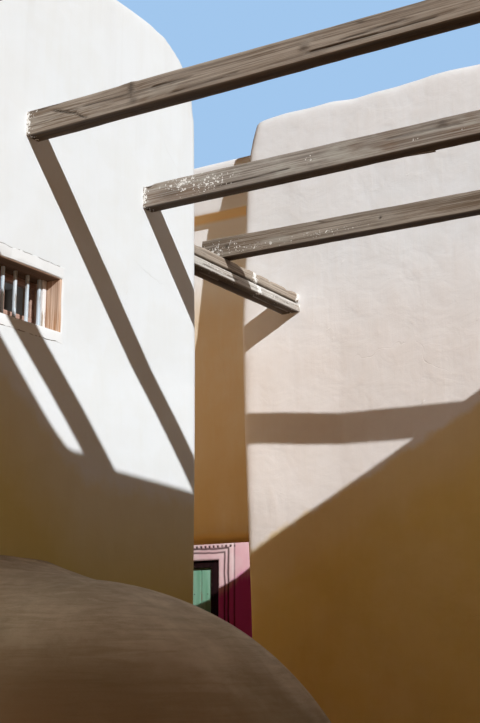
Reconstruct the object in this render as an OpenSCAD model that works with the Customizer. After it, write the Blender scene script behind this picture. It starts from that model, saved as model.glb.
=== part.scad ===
// Adobe house of two lime-washed wings, a portal, a door room, pergola beams and a domed oven.
// Millimetres. +X runs along the front of the left wing, +Y goes away from the yard, +Z is up.
// The origin is at ground level, in the middle of the outline seen from above.

/* [Walls] */
// Thickness of every adobe wall
wall = 450; // [350:10:600]
// Thickness of the parapet that stands on a wall above the roof
parapet = 300; // [200:10:340]
// Radius that rounds the top edges of the walls
coping_r = 60; // [20:5:90]

/* [Left wing] */
// Length of the left wing along its front
left_length = 4535; // [4300:5:6000]
// Depth of the left wing from front to rear
left_depth = 4700; // [4400:10:6500]
// Height of the left wing's parapet above the ground
left_height = 5580; // [5400:10:6400]
// Distance from the left wing's parapet top down to the underside of its roof
left_roof_drop = 980; // [700:10:1050]
// Length of the rounded shoulder at each end of the front parapet
shoulder_length = 985; // [700:5:1200]
// Drop of the rounded shoulder at each end of the front parapet
shoulder_drop = 620; // [300:10:700]
// Clear width of the passage between the two wings
passage = 1570; // [1400:10:2200]

/* [Right wing] */
// Length of the right wing across the passage direction
right_length = 3145; // [2900:5:5000]
// Depth of the right wing from the yard end to the court
right_depth = 4460; // [4100:10:6000]
// Height of the right wing's parapet above the ground
right_height = 5790; // [5600:10:6500]
// Distance from the right wing's parapet top down to the underside of its roof
right_roof_drop = 990; // [700:10:1100]
// How far the right wing runs past the line of the left wing's front
wing_overlap = 610; // [500:10:800]

/* [Roofs and floors] */
// Thickness of a roof slab
roof = 250; // [180:10:320]
// Thickness of the floors of the two wings
wing_floor = 100; // [60:10:150]

/* [Portal wall] */
// Thickness of the portal wall
portal_wall = 430; // [350:10:500]
// Distance from the passage face of the right wing back to the portal wall
portal_setback = 265; // [220:5:400]
// Distance that the upper course stands out from the portal wall
course_out = 100; // [40:5:150]
// Height of the upper course, which ends at the top of the portal wall
course_h = 450; // [300:10:600]
// Height of the portal wall above the ground
portal_height = 5600; // [5450:10:6000]
// Clear width of the portal
portal_w = 1340; // [1000:10:1500]
// Clear height of the portal
portal_h = 2465; // [2200:5:2600]
// Length of the portal head that is bedded in the right wing's wall
head_bearing = 200; // [100:10:300]
// Radius of the rounded lower front edge of the portal head
head_r = 150; // [60:10:200]

/* [Door room] */
// Length of the door room behind the painted wall, with its walls
room_length = 2600; // [2300:10:4000]
// Height of the door room's walls above the ground
room_height = 4200; // [4000:10:4800]
// Distance from the door room's parapet top down to the underside of its roof
room_roof_drop = 700; // [600:10:900]
// Floor level of the door room above the ground
room_floor = 350; // [250:10:450]
// Distance from the right wing's court face to the doorway
door_offset = 1940; // [1700:10:2100]
// Width of the doorway in the masonry
door_w = 1050; // [900:10:1150]
// Top of the doorway above the ground
door_top = 2530; // [2400:10:2650]
// Depth of the reveal in front of the door frame
reveal = 40; // [20:5:130]
// Width of the door frame's posts
frame_w = 108; // [60:2:120]
// Height of the door frame's head
frame_h = 50; // [40:5:110]
// Depth of the door frame
frame_d = 100; // [90:5:140]
// Width of the stops that the leaf closes against
stop = 32; // [28:1:40]
// Thickness of the plank leaf
leaf_t = 45; // [35:1:55]
// Running gap round the leaf
leaf_gap = 8; // [6:1:12]
// Distance from the hinge axis to the door frame's post
hinge_clear = 8; // [6:1:12]
// Distance from the hinge axis to the edge of the leaf
hinge_gap = 14; // [14:1:16]
// Distance from the leaf's inner face to the hinge axis
hinge_out = 22; // [21:1:26]
// Radius of the pins that the leaf turns on
pintle_r = 8; // [6:1:10]
// Radial play of the leaf's eyes on their pins
pintle_play = 0.3; // [0.2:0.1:0.6]
// Height of one eye
eye_h = 40; // [30:5:60]
// Length of a hinge strap on the leaf
strap_l = 520; // [300:10:700]
// Thickness of a hinge strap
strap_t = 8; // [7:1:10]
// Depth of the step in front of the door
step_d = 320; // [250:10:400]
// Height of the step in front of the door
step_h = 175; // [140:5:200]
// Width of the raised band round the doorway
surround_w = 190; // [120:10:240]
// Thickness of the raised band round the doorway
surround_t = 20; // [10:1:30]

/* [Doors that stay shut] */
// Width of the doorways on the unseen sides
plain_door_w = 950; // [850:10:1050]
// Height of the doorways on the unseen sides, above the floor
plain_door_h = 2050; // [1900:10:2150]

/* [Windows] */
// Clear width of a window
window_w = 800; // [600:10:900]
// Clear height of a window
window_h = 295; // [260:5:360]
// Underside of a window opening above the ground
window_z = 3312; // [3200:1:3350]
// Distance from the passage corner to the front window
window_offset = 1365; // [1200:5:1500]
// Thickness of a window's timber lining
lining_t = 45; // [30:5:60]
// Depth of a window's timber lining
lining_d = 260; // [150:10:320]
// Thickness of the plaster lip in front of the lining
lining_in = 20; // [10:5:60]

/* [Beams] */
// Width of a pergola beam
beam_w = 120; // [100:5:150]
// Height of a pergola beam
beam_h = 145; // [120:5:180]
// Distance between two pergola beams
beam_pitch = 1097; // [1000:1:1200]
// Underside of the second beam
beam_z = 4345; // [4250:5:4400]
// Underside of the outer beam, which is let into the top of the yard wall
outer_beam_z = 4420; // [4415:5:4440]
// Distance that the outer beam stands farther out than the pitch of the others
outer_beam_out = 68; // [0:2:120]
// Depth of the sockets that hold the beams
socket = 220; // [150:10:300]
// Distance from the passage corner to the middle of the nearest beam in the wall
beam_offset = 548; // [400:1:700]
// Underside of the two beams nearest the passage
low_beam_z = 4265; // [4200:5:4300]
// Width of the cross beam over the passage
cross_w = 156; // [120:2:200]
// Height of the cross beam over the passage
cross_h = 150; // [120:5:160]
// Distance from the left wing's front to the cross beam
cross_in = 94; // [60:2:120]
// Distance that the beam over the passage runs past the cross beam
beam_past = 12; // [0:2:60]

/* [Yard wall] */
// Height of the yard wall above the ground
yard_height = 4560; // [4520:10:5000]
// Height of the yard wall's raised free end above the ground
yard_end_height = 5480; // [5300:10:5560]
// Length of the level top of the raised end
yard_end_flat = 300; // [150:10:500]
// Length of the curved fall from the raised end to the rest of the yard wall
yard_fall = 1400; // [1000:10:1430]
// Length of the splay that thins the yard wall's free end
yard_splay = 850; // [600:10:850]
// Thickness of the yard wall's free end
yard_tip = 125; // [120:5:300]

/* [Oven] */
// Radius of the oven dome
oven_r = 1506; // [1300:2:1600]
// Height of the centre of the dome above the ground
oven_z = 398; // [300:2:500]
// Distance from the left wing's front to the centre of the dome
oven_out = 463; // [400:1:700]
// Distance from the passage corner to the centre of the dome
oven_offset = 1762; // [1720:1:1850]
// Thickness of the dome's shell
oven_shell = 220; // [150:10:280]
// Height of the plaster cove between the dome and the wall, measured up the wall
cove = 230; // [150:10:250]
// Depth of the cove, measured out from the wall
cove_d = 240; // [150:10:260]
// Width of the oven mouth
mouth_w = 560; // [450:10:650]
// Top of the oven mouth above the ground
mouth_top = 900; // [800:10:950]
// Height of the hearth above the ground
hearth_h = 330; // [250:10:400]

/* [Hidden] */
$fn = 96;

// A cut reaches this far past a face, so that it goes right through
past = 10;

// Lines of the plan
total_length = left_length + passage + right_length + room_length - wall;
total_depth = right_depth + left_depth - wing_overlap;
left_x0 = -total_length / 2;
left_x1 = left_x0 + left_length;
right_x0 = left_x1 + passage;
right_x1 = right_x0 + right_length;
door_x = right_x1 - wall;
room_x1 = total_length / 2;
rear_y = total_depth / 2;
left_roof_z = left_height - left_roof_drop;
right_roof_z = right_height - right_roof_drop;
room_roof_z = room_height - room_roof_drop;
course_z = portal_height - course_h;
left_y0 = rear_y - left_depth;
right_y0 = -total_depth / 2;
court_y = right_y0 + right_depth;
portal_x0 = right_x0 + portal_setback;
portal_x1 = portal_x0 + portal_wall;

// The doorway and its leaf
door_y0 = court_y + door_offset;
door_y1 = door_y0 + door_w;
frame_x0 = door_x + reveal;
frame_x1 = frame_x0 + frame_d;
leaf_x1 = frame_x1;
leaf_x0 = leaf_x1 - leaf_t;
hinge_x = leaf_x1 + hinge_out;
hinge_y = door_y1 - frame_w - hinge_clear;
leaf_y0 = door_y0 + frame_w + leaf_gap;
leaf_y1 = hinge_y - hinge_gap;
leaf_z0 = room_floor + leaf_gap;
leaf_z1 = door_top - frame_h - leaf_gap;
eye_r = 2 * pintle_r;
strap_in = 250;
strap_zs = [leaf_z0 + strap_in, leaf_z1 - strap_in - eye_h];

// The beams, numbered from the open end of the yard to the passage
beam_x = [for (i = [0:3])
  left_x1 - beam_offset - beam_w / 2 + beam_pitch * (i - 2) - (i == 0 ? outer_beam_out : 0)];
beam_zs = [outer_beam_z, beam_z, low_beam_z, low_beam_z];
yard_y1 = right_y0 + wall;
cross_y0 = left_y0 + cross_in;
cross_z0 = low_beam_z - cross_h;
beam_far_y = [for (i = [0:3]) i < 3 ? left_y0 + socket : cross_y0 + cross_w + beam_past];

// The oven
oven_x = left_x1 - oven_offset;
oven_y = left_y0 - oven_out;
oven_ring_r = sqrt(oven_r * oven_r - oven_out * oven_out);

// A box from its low corner to its high corner
module box(low, high) {
  translate(low) cube(high - low);
}

// Section of a wall whose top edges are rounded
module coping_section(thick, height) {
  square([thick, height - coping_r]);
  translate([coping_r, 0]) square([thick - 2 * coping_r, height]);
  for (x = [coping_r, thick - coping_r]) {
    translate([x, height - coping_r]) circle(r = coping_r);
  }
}

// Wall that runs along X
module wall_along_x(x0, x1, y0, height, thick = wall) {
  translate([x0, y0, 0]) rotate([90, 0, 90]) linear_extrude(x1 - x0) coping_section(thick, height);
}

// Wall that runs along Y
module wall_along_y(x0, y0, y1, height, thick = wall) {
  translate([x0, y1, 0]) rotate([90, 0, 0]) linear_extrude(y1 - y0) coping_section(thick, height);
}

// Height of the left wing's rounded shoulder at a distance from the flat of the parapet
function shoulder_at(distance) =
  left_height - shoulder_drop
  + shoulder_drop * pow(1 - pow(distance / shoulder_length, 3), 1 / 3);

// Front outline of the left wing, flat in the middle and round at both ends
module left_outline() {
  steps = 14;
  half = left_length / 2;
  arc = [for (i = [0:steps])
    let (d = shoulder_length * sin(90 * i / steps))
    [half - shoulder_length + d, shoulder_at(d)]];
  mirrored = [for (i = [steps:-1:0]) [-arc[i][0], arc[i][1]]];
  translate([left_x0 + half, 0])
    polygon(concat([[-half, 0]], mirrored, arc, [[half, 0]]));
}

// The left wing as one block under its outline
module left_block(y0, y1) {
  translate([0, y1, 0]) rotate([90, 0, 0]) linear_extrude(y1 - y0) left_outline();
}

// Space over a wing's roof, inside its parapet
module roof_space(x0, x1, y0, y1, z) {
  box([x0 + parapet, y0 + parapet, z], [x1 - parapet, y1 - parapet, z + 2 * past + left_height]);
}

module roof_slab(x0, x1, y0, y1, z) {
  color("tan") box([x0 + parapet, y0 + parapet, z], [x1 - parapet, y1 - parapet, z + roof]);
}

module left_roof_space() {
  roof_space(left_x0, left_x1, left_y0, rear_y, left_roof_z);
}

module right_roof_space() {
  roof_space(right_x0, right_x1, right_y0, court_y, right_roof_z);
}

module room_roof_space() {
  roof_space(door_x, room_x1, court_y, rear_y, room_roof_z);
}

// Hole for a window, in a frame where the wall face is y = 0 and the wall lies at y > 0.
// The plaster lip at the face hides the front edge of the timber lining.
module window_hole() {
  box([0, -past, 0], [window_w, wall + past, window_h]);
  box([-lining_t, lining_in, 0], [window_w + lining_t, wall + past, window_h + lining_t]);
}

// Timber lining of a window, in the same frame: two posts and a lintel
module window_lining() {
  color("sienna") difference() {
    box([-lining_t, lining_in, 0],
        [window_w + lining_t, lining_in + lining_d, window_h + lining_t]);
    box([0, 0, -past], [window_w, wall, window_h]);
  }
}

// Puts a child that is made in the window's frame in the left wing's front wall
module at_front_window() {
  translate([front_window_x, left_y0, window_z]) children();
}

module at_end_window() {
  translate([left_x0, end_window_y + window_w, window_z]) rotate([0, 0, -90]) children();
}

module at_yard_window() {
  translate([yard_window_x, right_y0, window_z]) children();
}

module at_right_window() {
  translate([right_x1, right_window_y, window_z]) rotate([0, 0, 90]) children();
}

// Shut plank door with its frame, in a frame where the wall face is y = 0
module plain_door() {
  color("seagreen") difference() {
    box([0, reveal, 0], [plain_door_w, reveal + frame_d, plain_door_h]);
    box([frame_w, 0, -past],
        [plain_door_w - frame_w, reveal + frame_d - leaf_t, plain_door_h - frame_h]);
  }
}

// Places of the openings on the unseen sides
front_window_x = left_x1 - window_offset - window_w;
end_window_y = left_y0 + left_depth / 2 - window_w / 2;
yard_window_x = right_x0 + right_length / 2 - window_w / 2;
right_window_y = right_y0 + right_depth / 2 - window_w / 2;
left_door_x = left_x0 + left_length / 2 - plain_door_w / 2;
court_door_x = (portal_x1 + door_x) / 2 - plain_door_w / 2;

// Left wing
// The front wall has sockets for three yard beams and for the beam over the passage
module left_front_wall() {
  color("ivory") difference() {
    intersection() {
      left_block(left_y0, left_y0 + wall);
      wall_along_x(left_x0, left_x1, left_y0, left_height);
    }
    left_roof_space();
    at_front_window() window_hole();
    for (i = [0:2]) beam_body(i);
    cross_beam();
  }
}

module left_passage_wall() {
  color("ivory") difference() {
    intersection() {
      left_block(left_y0 + wall, rear_y - wall);
      box([left_x1 - wall, left_y0, 0], [left_x1, rear_y, left_height]);
    }
    left_roof_space();
  }
}

module left_end_wall() {
  color("ivory") difference() {
    intersection() {
      left_block(left_y0 + wall, rear_y - wall);
      box([left_x0, left_y0, 0], [left_x0 + wall, rear_y, left_height]);
    }
    left_roof_space();
    at_end_window() window_hole();
  }
}

module left_rear_wall() {
  color("ivory") difference() {
    intersection() {
      left_block(rear_y - wall, rear_y);
      wall_along_x(left_x0, left_x1, rear_y - wall, left_height);
    }
    left_roof_space();
    box([left_door_x, rear_y - wall - past, wing_floor],
        [left_door_x + plain_door_w, rear_y + past, wing_floor + plain_door_h]);
  }
}

module left_floor() {
  color("tan") box([left_x0 + wall, left_y0 + wall, 0], [left_x1 - wall, rear_y - wall, wing_floor]);
}

module left_roof() {
  roof_slab(left_x0, left_x1, left_y0, rear_y, left_roof_z);
}

module front_window_lining() {
  at_front_window() window_lining();
}

module side_window_linings() {
  at_end_window() window_lining();
  at_yard_window() window_lining();
  at_right_window() window_lining();
}

module left_rear_door() {
  translate([left_door_x + plain_door_w, rear_y, wing_floor]) rotate([0, 0, 180]) plain_door();
}

// Pergola
// The first three beams are held in both walls, and the last one lies on the cross beam
module beam_body(i) {
  color("dimgray")
    box([beam_x[i], yard_y1 - socket, beam_zs[i]],
        [beam_x[i] + beam_w, beam_far_y[i], beam_zs[i] + beam_h]);
}

module pergola_beam_1() { beam_body(0); }
module pergola_beam_2() { beam_body(1); }
module pergola_beam_3() { beam_body(2); }
module pergola_beam_4() { beam_body(3); }

// Beam over the passage, held in both wings
module cross_beam() {
  color("dimgray")
    box([left_x1 - socket, cross_y0, cross_z0], [right_x0 + socket, cross_y0 + cross_w, low_beam_z]);
}

// Outline of the yard wall's raised free end, seen from the yard
module raised_end_outline() {
  steps = 16;
  rise = yard_end_height - yard_height;
  fall = [for (i = [0:steps])
    [left_x0 + yard_end_flat + yard_fall * i / steps,
     yard_height - coping_r + (rise + coping_r) * (1 + cos(180 * i / steps)) / 2]];
  polygon(concat([[left_x0, 0], [left_x0, yard_end_height]], fall,
                 [[left_x0 + yard_end_flat + yard_fall, 0]]));
}

// Plan of the yard wall, which is splayed on the yard side at its free end
module yard_plan() {
  polygon([[left_x0, right_y0], [right_x0, right_y0], [right_x0, right_y0 + wall],
           [left_x0 + yard_splay, right_y0 + wall], [left_x0, right_y0 + yard_tip]]);
}

// Wall between the yard and the street side, which carries the beams' near ends
module yard_wall() {
  color("ivory") difference() {
    intersection() {
      union() {
        wall_along_x(left_x0, right_x0, right_y0, yard_height);
        translate([0, yard_y1, 0]) rotate([90, 0, 0]) linear_extrude(wall) raised_end_outline();
      }
      linear_extrude(yard_end_height) yard_plan();
    }
    for (i = [0:3]) beam_body(i);
  }
}

// Right wing
module right_passage_wall() {
  color("ivory") difference() {
    wall_along_y(right_x0, right_y0, court_y, right_height);
    right_roof_space();
    cross_beam();
    portal_body();
  }
}

module right_court_wall() {
  color("ivory") difference() {
    wall_along_x(right_x0 + wall, right_x1 - wall, court_y - wall, right_height);
    right_roof_space();
    portal_body();
    box([court_door_x, court_y - wall - past, wing_floor],
        [court_door_x + plain_door_w, court_y + past, wing_floor + plain_door_h]);
  }
}

module right_end_wall() {
  color("ivory") difference() {
    wall_along_y(right_x1 - wall, right_y0, court_y, right_height);
    right_roof_space();
    at_right_window() window_hole();
  }
}

module right_yard_wall() {
  color("ivory") difference() {
    wall_along_x(right_x0 + wall, right_x1 - wall, right_y0, right_height);
    right_roof_space();
    at_yard_window() window_hole();
  }
}

module right_floor() {
  color("tan") box([right_x0 + wall, right_y0 + wall, 0], [right_x1 - wall, court_y - wall, wing_floor]);
}

module right_roof() {
  roof_slab(right_x0, right_x1, right_y0, court_y, right_roof_z);
}

module right_court_door() {
  translate([court_door_x + plain_door_w, court_y, wing_floor]) rotate([0, 0, 180]) plain_door();
}

// Portal wall
module portal_pier() {
  color("burlywood") box([portal_x0, court_y + portal_w, 0], [portal_x1, rear_y, portal_h]);
}

// Section of the portal head, with its lower front edge rounded
module head_section() {
  height = course_z - portal_h;
  translate([head_r, 0]) square([portal_wall - head_r, height]);
  translate([0, head_r]) square([portal_wall, height - head_r]);
  translate([head_r, head_r]) circle(r = head_r);
}

module portal_body() {
  translate([portal_x0, rear_y, portal_h]) rotate([90, 0, 0])
    linear_extrude(rear_y - court_y + head_bearing) head_section();
}

module portal_head() {
  color("burlywood") portal_body();
}

module portal_course() {
  color("burlywood") difference() {
    wall_along_y(portal_x0 - course_out, court_y, rear_y, portal_height, portal_wall + course_out);
    box([portal_x0 - course_out - past, court_y - past, -past], [portal_x1 + past, rear_y + past, course_z]);
  }
}

// Door room
module door_wall_near() {
  color("pink") box([door_x, court_y, 0], [door_x + wall, door_y0, door_top]);
}

module door_wall_far() {
  color("pink") box([door_x, door_y1, 0], [door_x + wall, rear_y - wall, door_top]);
}

module door_wall_head() {
  color("pink") difference() {
    wall_along_y(door_x, court_y, rear_y - wall, room_height);
    box([door_x - past, court_y - past, -past], [door_x + wall + past, rear_y, door_top]);
    room_roof_space();
  }
}

module rear_wall() {
  color("burlywood") difference() {
    wall_along_x(portal_x1, room_x1, rear_y - wall, room_height);
    room_roof_space();
  }
}

module room_end_wall() {
  color("burlywood") difference() {
    wall_along_y(room_x1 - wall, court_y, rear_y - wall, room_height);
    room_roof_space();
  }
}

module room_near_wall() {
  color("burlywood") difference() {
    wall_along_x(door_x + wall, room_x1 - wall, court_y, room_height);
    room_roof_space();
  }
}

// The floor runs through the doorway as its sill
module room_floor_slab() {
  color("tan") {
    box([door_x + wall, court_y + wall, 0], [room_x1 - wall, rear_y - wall, room_floor]);
    box([door_x, door_y0, 0], [door_x + wall, door_y1, room_floor]);
  }
}

module room_roof() {
  roof_slab(door_x, room_x1, court_y, rear_y, room_roof_z);
}

// The leaf closes against stops at the outer edge of the frame
module door_frame() {
  color("maroon") difference() {
    box([frame_x0, door_y0, room_floor], [frame_x1, door_y1, door_top]);
    box([frame_x0 - past, door_y0 + frame_w + stop, -past],
        [frame_x1 + past, door_y1 - frame_w - stop, door_top - frame_h - stop]);
    box([leaf_x0 - leaf_gap, door_y0 + frame_w, -past],
        [frame_x1 + past, door_y1 - frame_w, door_top - frame_h]);
  }
}

// Two pins on brackets, each under an eye of the leaf
module door_pintles() {
  bracket_h = 14;
  for (z = strap_zs) {
    color("dimgray") {
      translate([hinge_x, hinge_y, z - bracket_h - pintle_play])
        cylinder(h = bracket_h + pintle_play + eye_h, r = pintle_r);
      box([frame_x1, hinge_y - pintle_r, z - bracket_h - pintle_play],
          [hinge_x, hinge_y + frame_w, z - pintle_play]);
    }
  }
}

// Raised band round the doorway
module door_surround() {
  color("lightpink") difference() {
    box([door_x - surround_t, door_y0 - surround_w, 0],
        [door_x, door_y1 + surround_w, door_top + surround_w]);
    box([door_x - surround_t - past, door_y0, -past], [door_x + past, door_y1, door_top]);
  }
}

module door_step() {
  color("tan") box([door_x - step_d, door_y0, 0], [door_x, door_y1, step_h]);
}

// Plank leaf with two straps that end in eyes
module door_leaf() {
  // The straps stop short of the hinge axis, inside their eyes
  strap_short = 3;
  color("seagreen") box([leaf_x0, leaf_y0, leaf_z0], [leaf_x1, leaf_y1, leaf_z1]);
  for (z = strap_zs) {
    color("dimgray") translate([0, 0, z]) {
      difference() {
        union() {
          box([leaf_x1, hinge_y - strap_l, 0], [leaf_x1 + strap_t, hinge_y - strap_short, eye_h]);
          translate([hinge_x, hinge_y, 0]) cylinder(h = eye_h, r = eye_r);
        }
        translate([hinge_x, hinge_y, -past])
          cylinder(h = eye_h + 2 * past, r = pintle_r + pintle_play);
      }
    }
  }
}

// Oven
// Outline of the dome on its drum, from its axis outwards
module dome_section(r) {
  square([r, oven_z]);
  intersection() {
    translate([0, oven_z]) circle(r = r);
    square([r, oven_z + r]);
  }
}

module oven_body(r) {
  translate([oven_x, oven_y, 0]) rotate_extrude() dome_section(r);
}

module oven_mouth_cut() {
  spring_z = mouth_top - mouth_w / 2;
  translate([oven_x, oven_y, 0]) rotate([90, 0, 0]) linear_extrude(oven_r + past) {
    translate([-mouth_w / 2, hearth_h]) square([mouth_w, spring_z - hearth_h]);
    translate([0, spring_z]) circle(r = mouth_w / 2);
  }
}

module yard_half_space() {
  box([oven_x - 2 * oven_r, oven_y - 2 * oven_r, -oven_r], [oven_x + 2 * oven_r, left_y0, 3 * oven_r]);
}

module oven_dome() {
  color("rosybrown") difference() {
    intersection() {
      oven_body(oven_r);
      yard_half_space();
    }
    oven_body(oven_r - oven_shell);
    oven_mouth_cut();
  }
}

// Section of the cove, from the dome's ring on the wall outwards, with y going out from the wall
module cove_section() {
  edge = 12;
  difference() {
    translate([oven_ring_r - cove_d, 0]) square([cove_d + cove, cove_d]);
    translate([0, oven_out]) circle(r = oven_r, $fn = 720);
    translate([oven_ring_r + cove, cove_d]) circle(r = cove_d - edge, $fn = 180);
  }
}

// The cove goes up one side of the dome, round over it and down the other side
module oven_cove() {
  color("rosybrown") translate([oven_x, left_y0, 0]) {
    translate([0, 0, oven_z]) rotate([90, 0, 0])
      rotate_extrude(angle = 180, $fn = 360) cove_section();
    linear_extrude(oven_z) mirror([0, 1, 0]) cove_section();
    linear_extrude(oven_z) rotate(180) cove_section();
  }
}

module oven_hearth() {
  color("tan") intersection() {
    translate([oven_x, oven_y, 0]) cylinder(h = hearth_h, r = oven_r - oven_shell);
    yard_half_space();
  }
}

left_front_wall();
left_passage_wall();
left_rear_wall();
left_end_wall();
left_floor();
left_roof();
front_window_lining();
side_window_linings();
left_rear_door();
pergola_beam_1();
pergola_beam_2();
pergola_beam_3();
pergola_beam_4();
cross_beam();
yard_wall();
right_passage_wall();
right_court_wall();
right_end_wall();
right_yard_wall();
right_floor();
right_roof();
right_court_door();
portal_pier();
portal_head();
portal_course();
door_wall_near();
door_wall_far();
door_wall_head();
rear_wall();
room_end_wall();
room_near_wall();
room_floor_slab();
room_roof();
door_frame();
door_pintles();
door_surround();
door_step();
door_leaf();
oven_dome();
oven_cove();
oven_hearth();
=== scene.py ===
"""The looks of an adobe house: plaster skins, weathered beams, barred windows and plank doors."""

import logging
import math
from dataclasses import asdict, dataclass
from enum import Enum
from typing import Callable, Sequence

import bmesh
import bpy
import numpy as np
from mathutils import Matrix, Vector


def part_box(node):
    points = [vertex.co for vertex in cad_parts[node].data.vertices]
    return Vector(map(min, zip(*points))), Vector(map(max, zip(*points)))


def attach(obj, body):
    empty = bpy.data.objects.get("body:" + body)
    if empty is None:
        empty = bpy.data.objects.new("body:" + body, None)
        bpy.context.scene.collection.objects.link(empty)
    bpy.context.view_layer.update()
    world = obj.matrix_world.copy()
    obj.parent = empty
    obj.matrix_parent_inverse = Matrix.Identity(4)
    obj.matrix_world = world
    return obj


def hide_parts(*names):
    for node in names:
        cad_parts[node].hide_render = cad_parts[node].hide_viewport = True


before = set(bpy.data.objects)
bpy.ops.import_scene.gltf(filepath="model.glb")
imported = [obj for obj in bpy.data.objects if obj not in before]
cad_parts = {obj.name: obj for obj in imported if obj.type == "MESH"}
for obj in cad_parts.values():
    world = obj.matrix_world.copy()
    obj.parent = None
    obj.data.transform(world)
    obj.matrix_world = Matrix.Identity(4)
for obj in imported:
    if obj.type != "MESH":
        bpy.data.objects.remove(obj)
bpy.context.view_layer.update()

LOG = logging.getLogger("adobe_house")

Point = tuple[float, float, float]
Colour = tuple[float, float, float]
Box = tuple[Point, Point]
Socket = bpy.types.NodeSocket

HOUSE, DOOR = "house", "door"


class Signal:
    """A value on its way between shader nodes, used in sums like a number."""

    def __init__(self, sheet: "Sheet", socket: Socket) -> None:
        """Keeps the socket and the sheet that it is on."""
        self.sheet, self.socket = sheet, socket

    def __add__(self, other: object) -> "Signal":
        """Returns the sum with a signal or a number."""
        return self.sheet.math("ADD", self, other)

    def __sub__(self, other: object) -> "Signal":
        """Returns the signal less another one or a number."""
        return self.sheet.math("SUBTRACT", self, other)

    def __rsub__(self, other: object) -> "Signal":
        """Returns a number less the signal."""
        return self.sheet.math("SUBTRACT", other, self)

    def __mul__(self, other: object) -> "Signal":
        """Returns the product with a signal or a number."""
        return self.sheet.math("MULTIPLY", self, other)

    def __truediv__(self, other: object) -> "Signal":
        """Returns the signal divided by another one or a number."""
        return self.sheet.math("DIVIDE", self, other)

    def at_least(self, other: object) -> "Signal":
        """Returns the larger of two values."""
        return self.sheet.math("MAXIMUM", self, other)

    def ramp(self, low: float, high: float, start: float = 0.0, end: float = 1.0) -> "Signal":
        """Returns the value moved smoothly from one range to another.

        Args:
            low: Where the range starts.
            high: Where the range ends.
            start: The result at low.
            end: The result at high.
        """
        inputs = {"Value": self, "From Min": low, "From Max": high, "To Min": start, "To Max": end}
        return self.sheet.out("MapRange", 0, inputs, interpolation_type="SMOOTHSTEP")

    def inside(self, low: float, high: float, soft: float) -> "Signal":
        """Returns 1 where the value lies between two limits, with soft ends."""
        return self.ramp(low - soft, low + soft) * self.ramp(high - soft, high + soft, 1.0, 0.0)

    def blend(self, factor: object, other: object) -> "Signal":
        """Returns the colour blended towards another by a factor."""
        return self.sheet.blend(factor, self, other)

    def tint(self, factor: object, other: object) -> "Signal":
        """Returns the colour multiplied by another as far as a factor says."""
        return self.sheet.blend(factor, self, other, "MULTIPLY")

    def noise(self, scale: object, detail: float = 2.0, rough: float = 0.5, warp: float = 0.0) -> "Signal":
        """Returns fractal noise between 0 and 1 at a place.

        Args:
            scale: How many features fit in a metre.
            detail: How many finer layers are added.
            rough: How strong the finer layers are.
            warp: How far the noise is bent by itself.
        """
        inputs = {"Vector": self, "Scale": scale, "Detail": detail, "Roughness": rough, "Distortion": warp}
        return self.sheet.out("TexNoise", "Fac", inputs)

    def cells(self, scale: object, feature: str = "F1") -> "Signal":
        """Returns the distance to the nearest cell point, or to the nearest cell edge."""
        return self.sheet.out("TexVoronoi", "Distance", {"Vector": self, "Scale": scale}, feature=feature)

    def stretch(self, x: float, y: float, z: float) -> "Signal":
        """Returns the place scaled along its three axes."""
        return self.sheet.out("VectorMath", 0, {0: self, 1: (x, y, z)}, operation="MULTIPLY")

    def split(self) -> list["Signal"]:
        """Returns the three parts of the place."""
        node = self.sheet.add("SeparateXYZ", {0: self})
        return [Signal(self.sheet, port) for port in node.outputs]


class Sheet:
    """Adds and wires the shader nodes of one node tree."""

    def __init__(self, tree: bpy.types.NodeTree) -> None:
        """Keeps the tree that the nodes go into."""
        self.tree = tree

    def feed(self, port: Socket, value: object) -> None:
        """Links a signal into an input, or sets the input's own value.

        Args:
            port: The input to feed.
            value: A signal, a number or a tuple of numbers.
        """
        if isinstance(value, Signal):
            self.tree.links.new(value.socket, port)
        elif isinstance(value, tuple) and len(port.default_value) > len(value):
            port.default_value = (*value, 1.0)
        else:
            port.default_value = value

    def add(self, kind: str, inputs: dict | None = None, **settings: object) -> bpy.types.Node:
        """Adds one shader node.

        Args:
            kind: The node's type without its ShaderNode prefix.
            inputs: Signals or values, by the name or number of the input.
            settings: Properties to set on the node.

        Returns:
            The new node.
        """
        node = self.tree.nodes.new("ShaderNode" + kind)
        for name, value in settings.items():
            setattr(node, name, value)
        for key, value in (inputs or {}).items():
            self.feed(node.inputs[key], value)
        return node

    def out(self, kind: str, port: str | int, inputs: dict | None = None, **settings: object) -> Signal:
        """Returns the output with this name or number of a new shader node."""
        return Signal(self, self.add(kind, inputs, **settings).outputs[port])

    def math(self, operation: str, a: object, b: object = 0.0) -> Signal:
        """Returns the result of one Math node."""
        return self.out("Math", 0, {0: a, 1: b}, operation=operation)

    def blend(self, factor: object, a: object, b: object, mode: str = "MIX") -> Signal:
        """Returns two colours blended by a factor."""
        return self.out("Mix", 2, {0: factor, 6: a, 7: b}, data_type="RGBA", blend_type=mode)

    def joined(self, x: object, y: object, z: object) -> Signal:
        """Returns a vector made of three parts."""
        return self.out("CombineXYZ", 0, {0: x, 1: y, 2: z})

    def facing_up(self) -> Signal:
        """Returns how far the surface faces up, from -1 to 1."""
        return self.out("NewGeometry", "Normal").split()[2]


Ports = dict[str, Signal]


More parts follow.
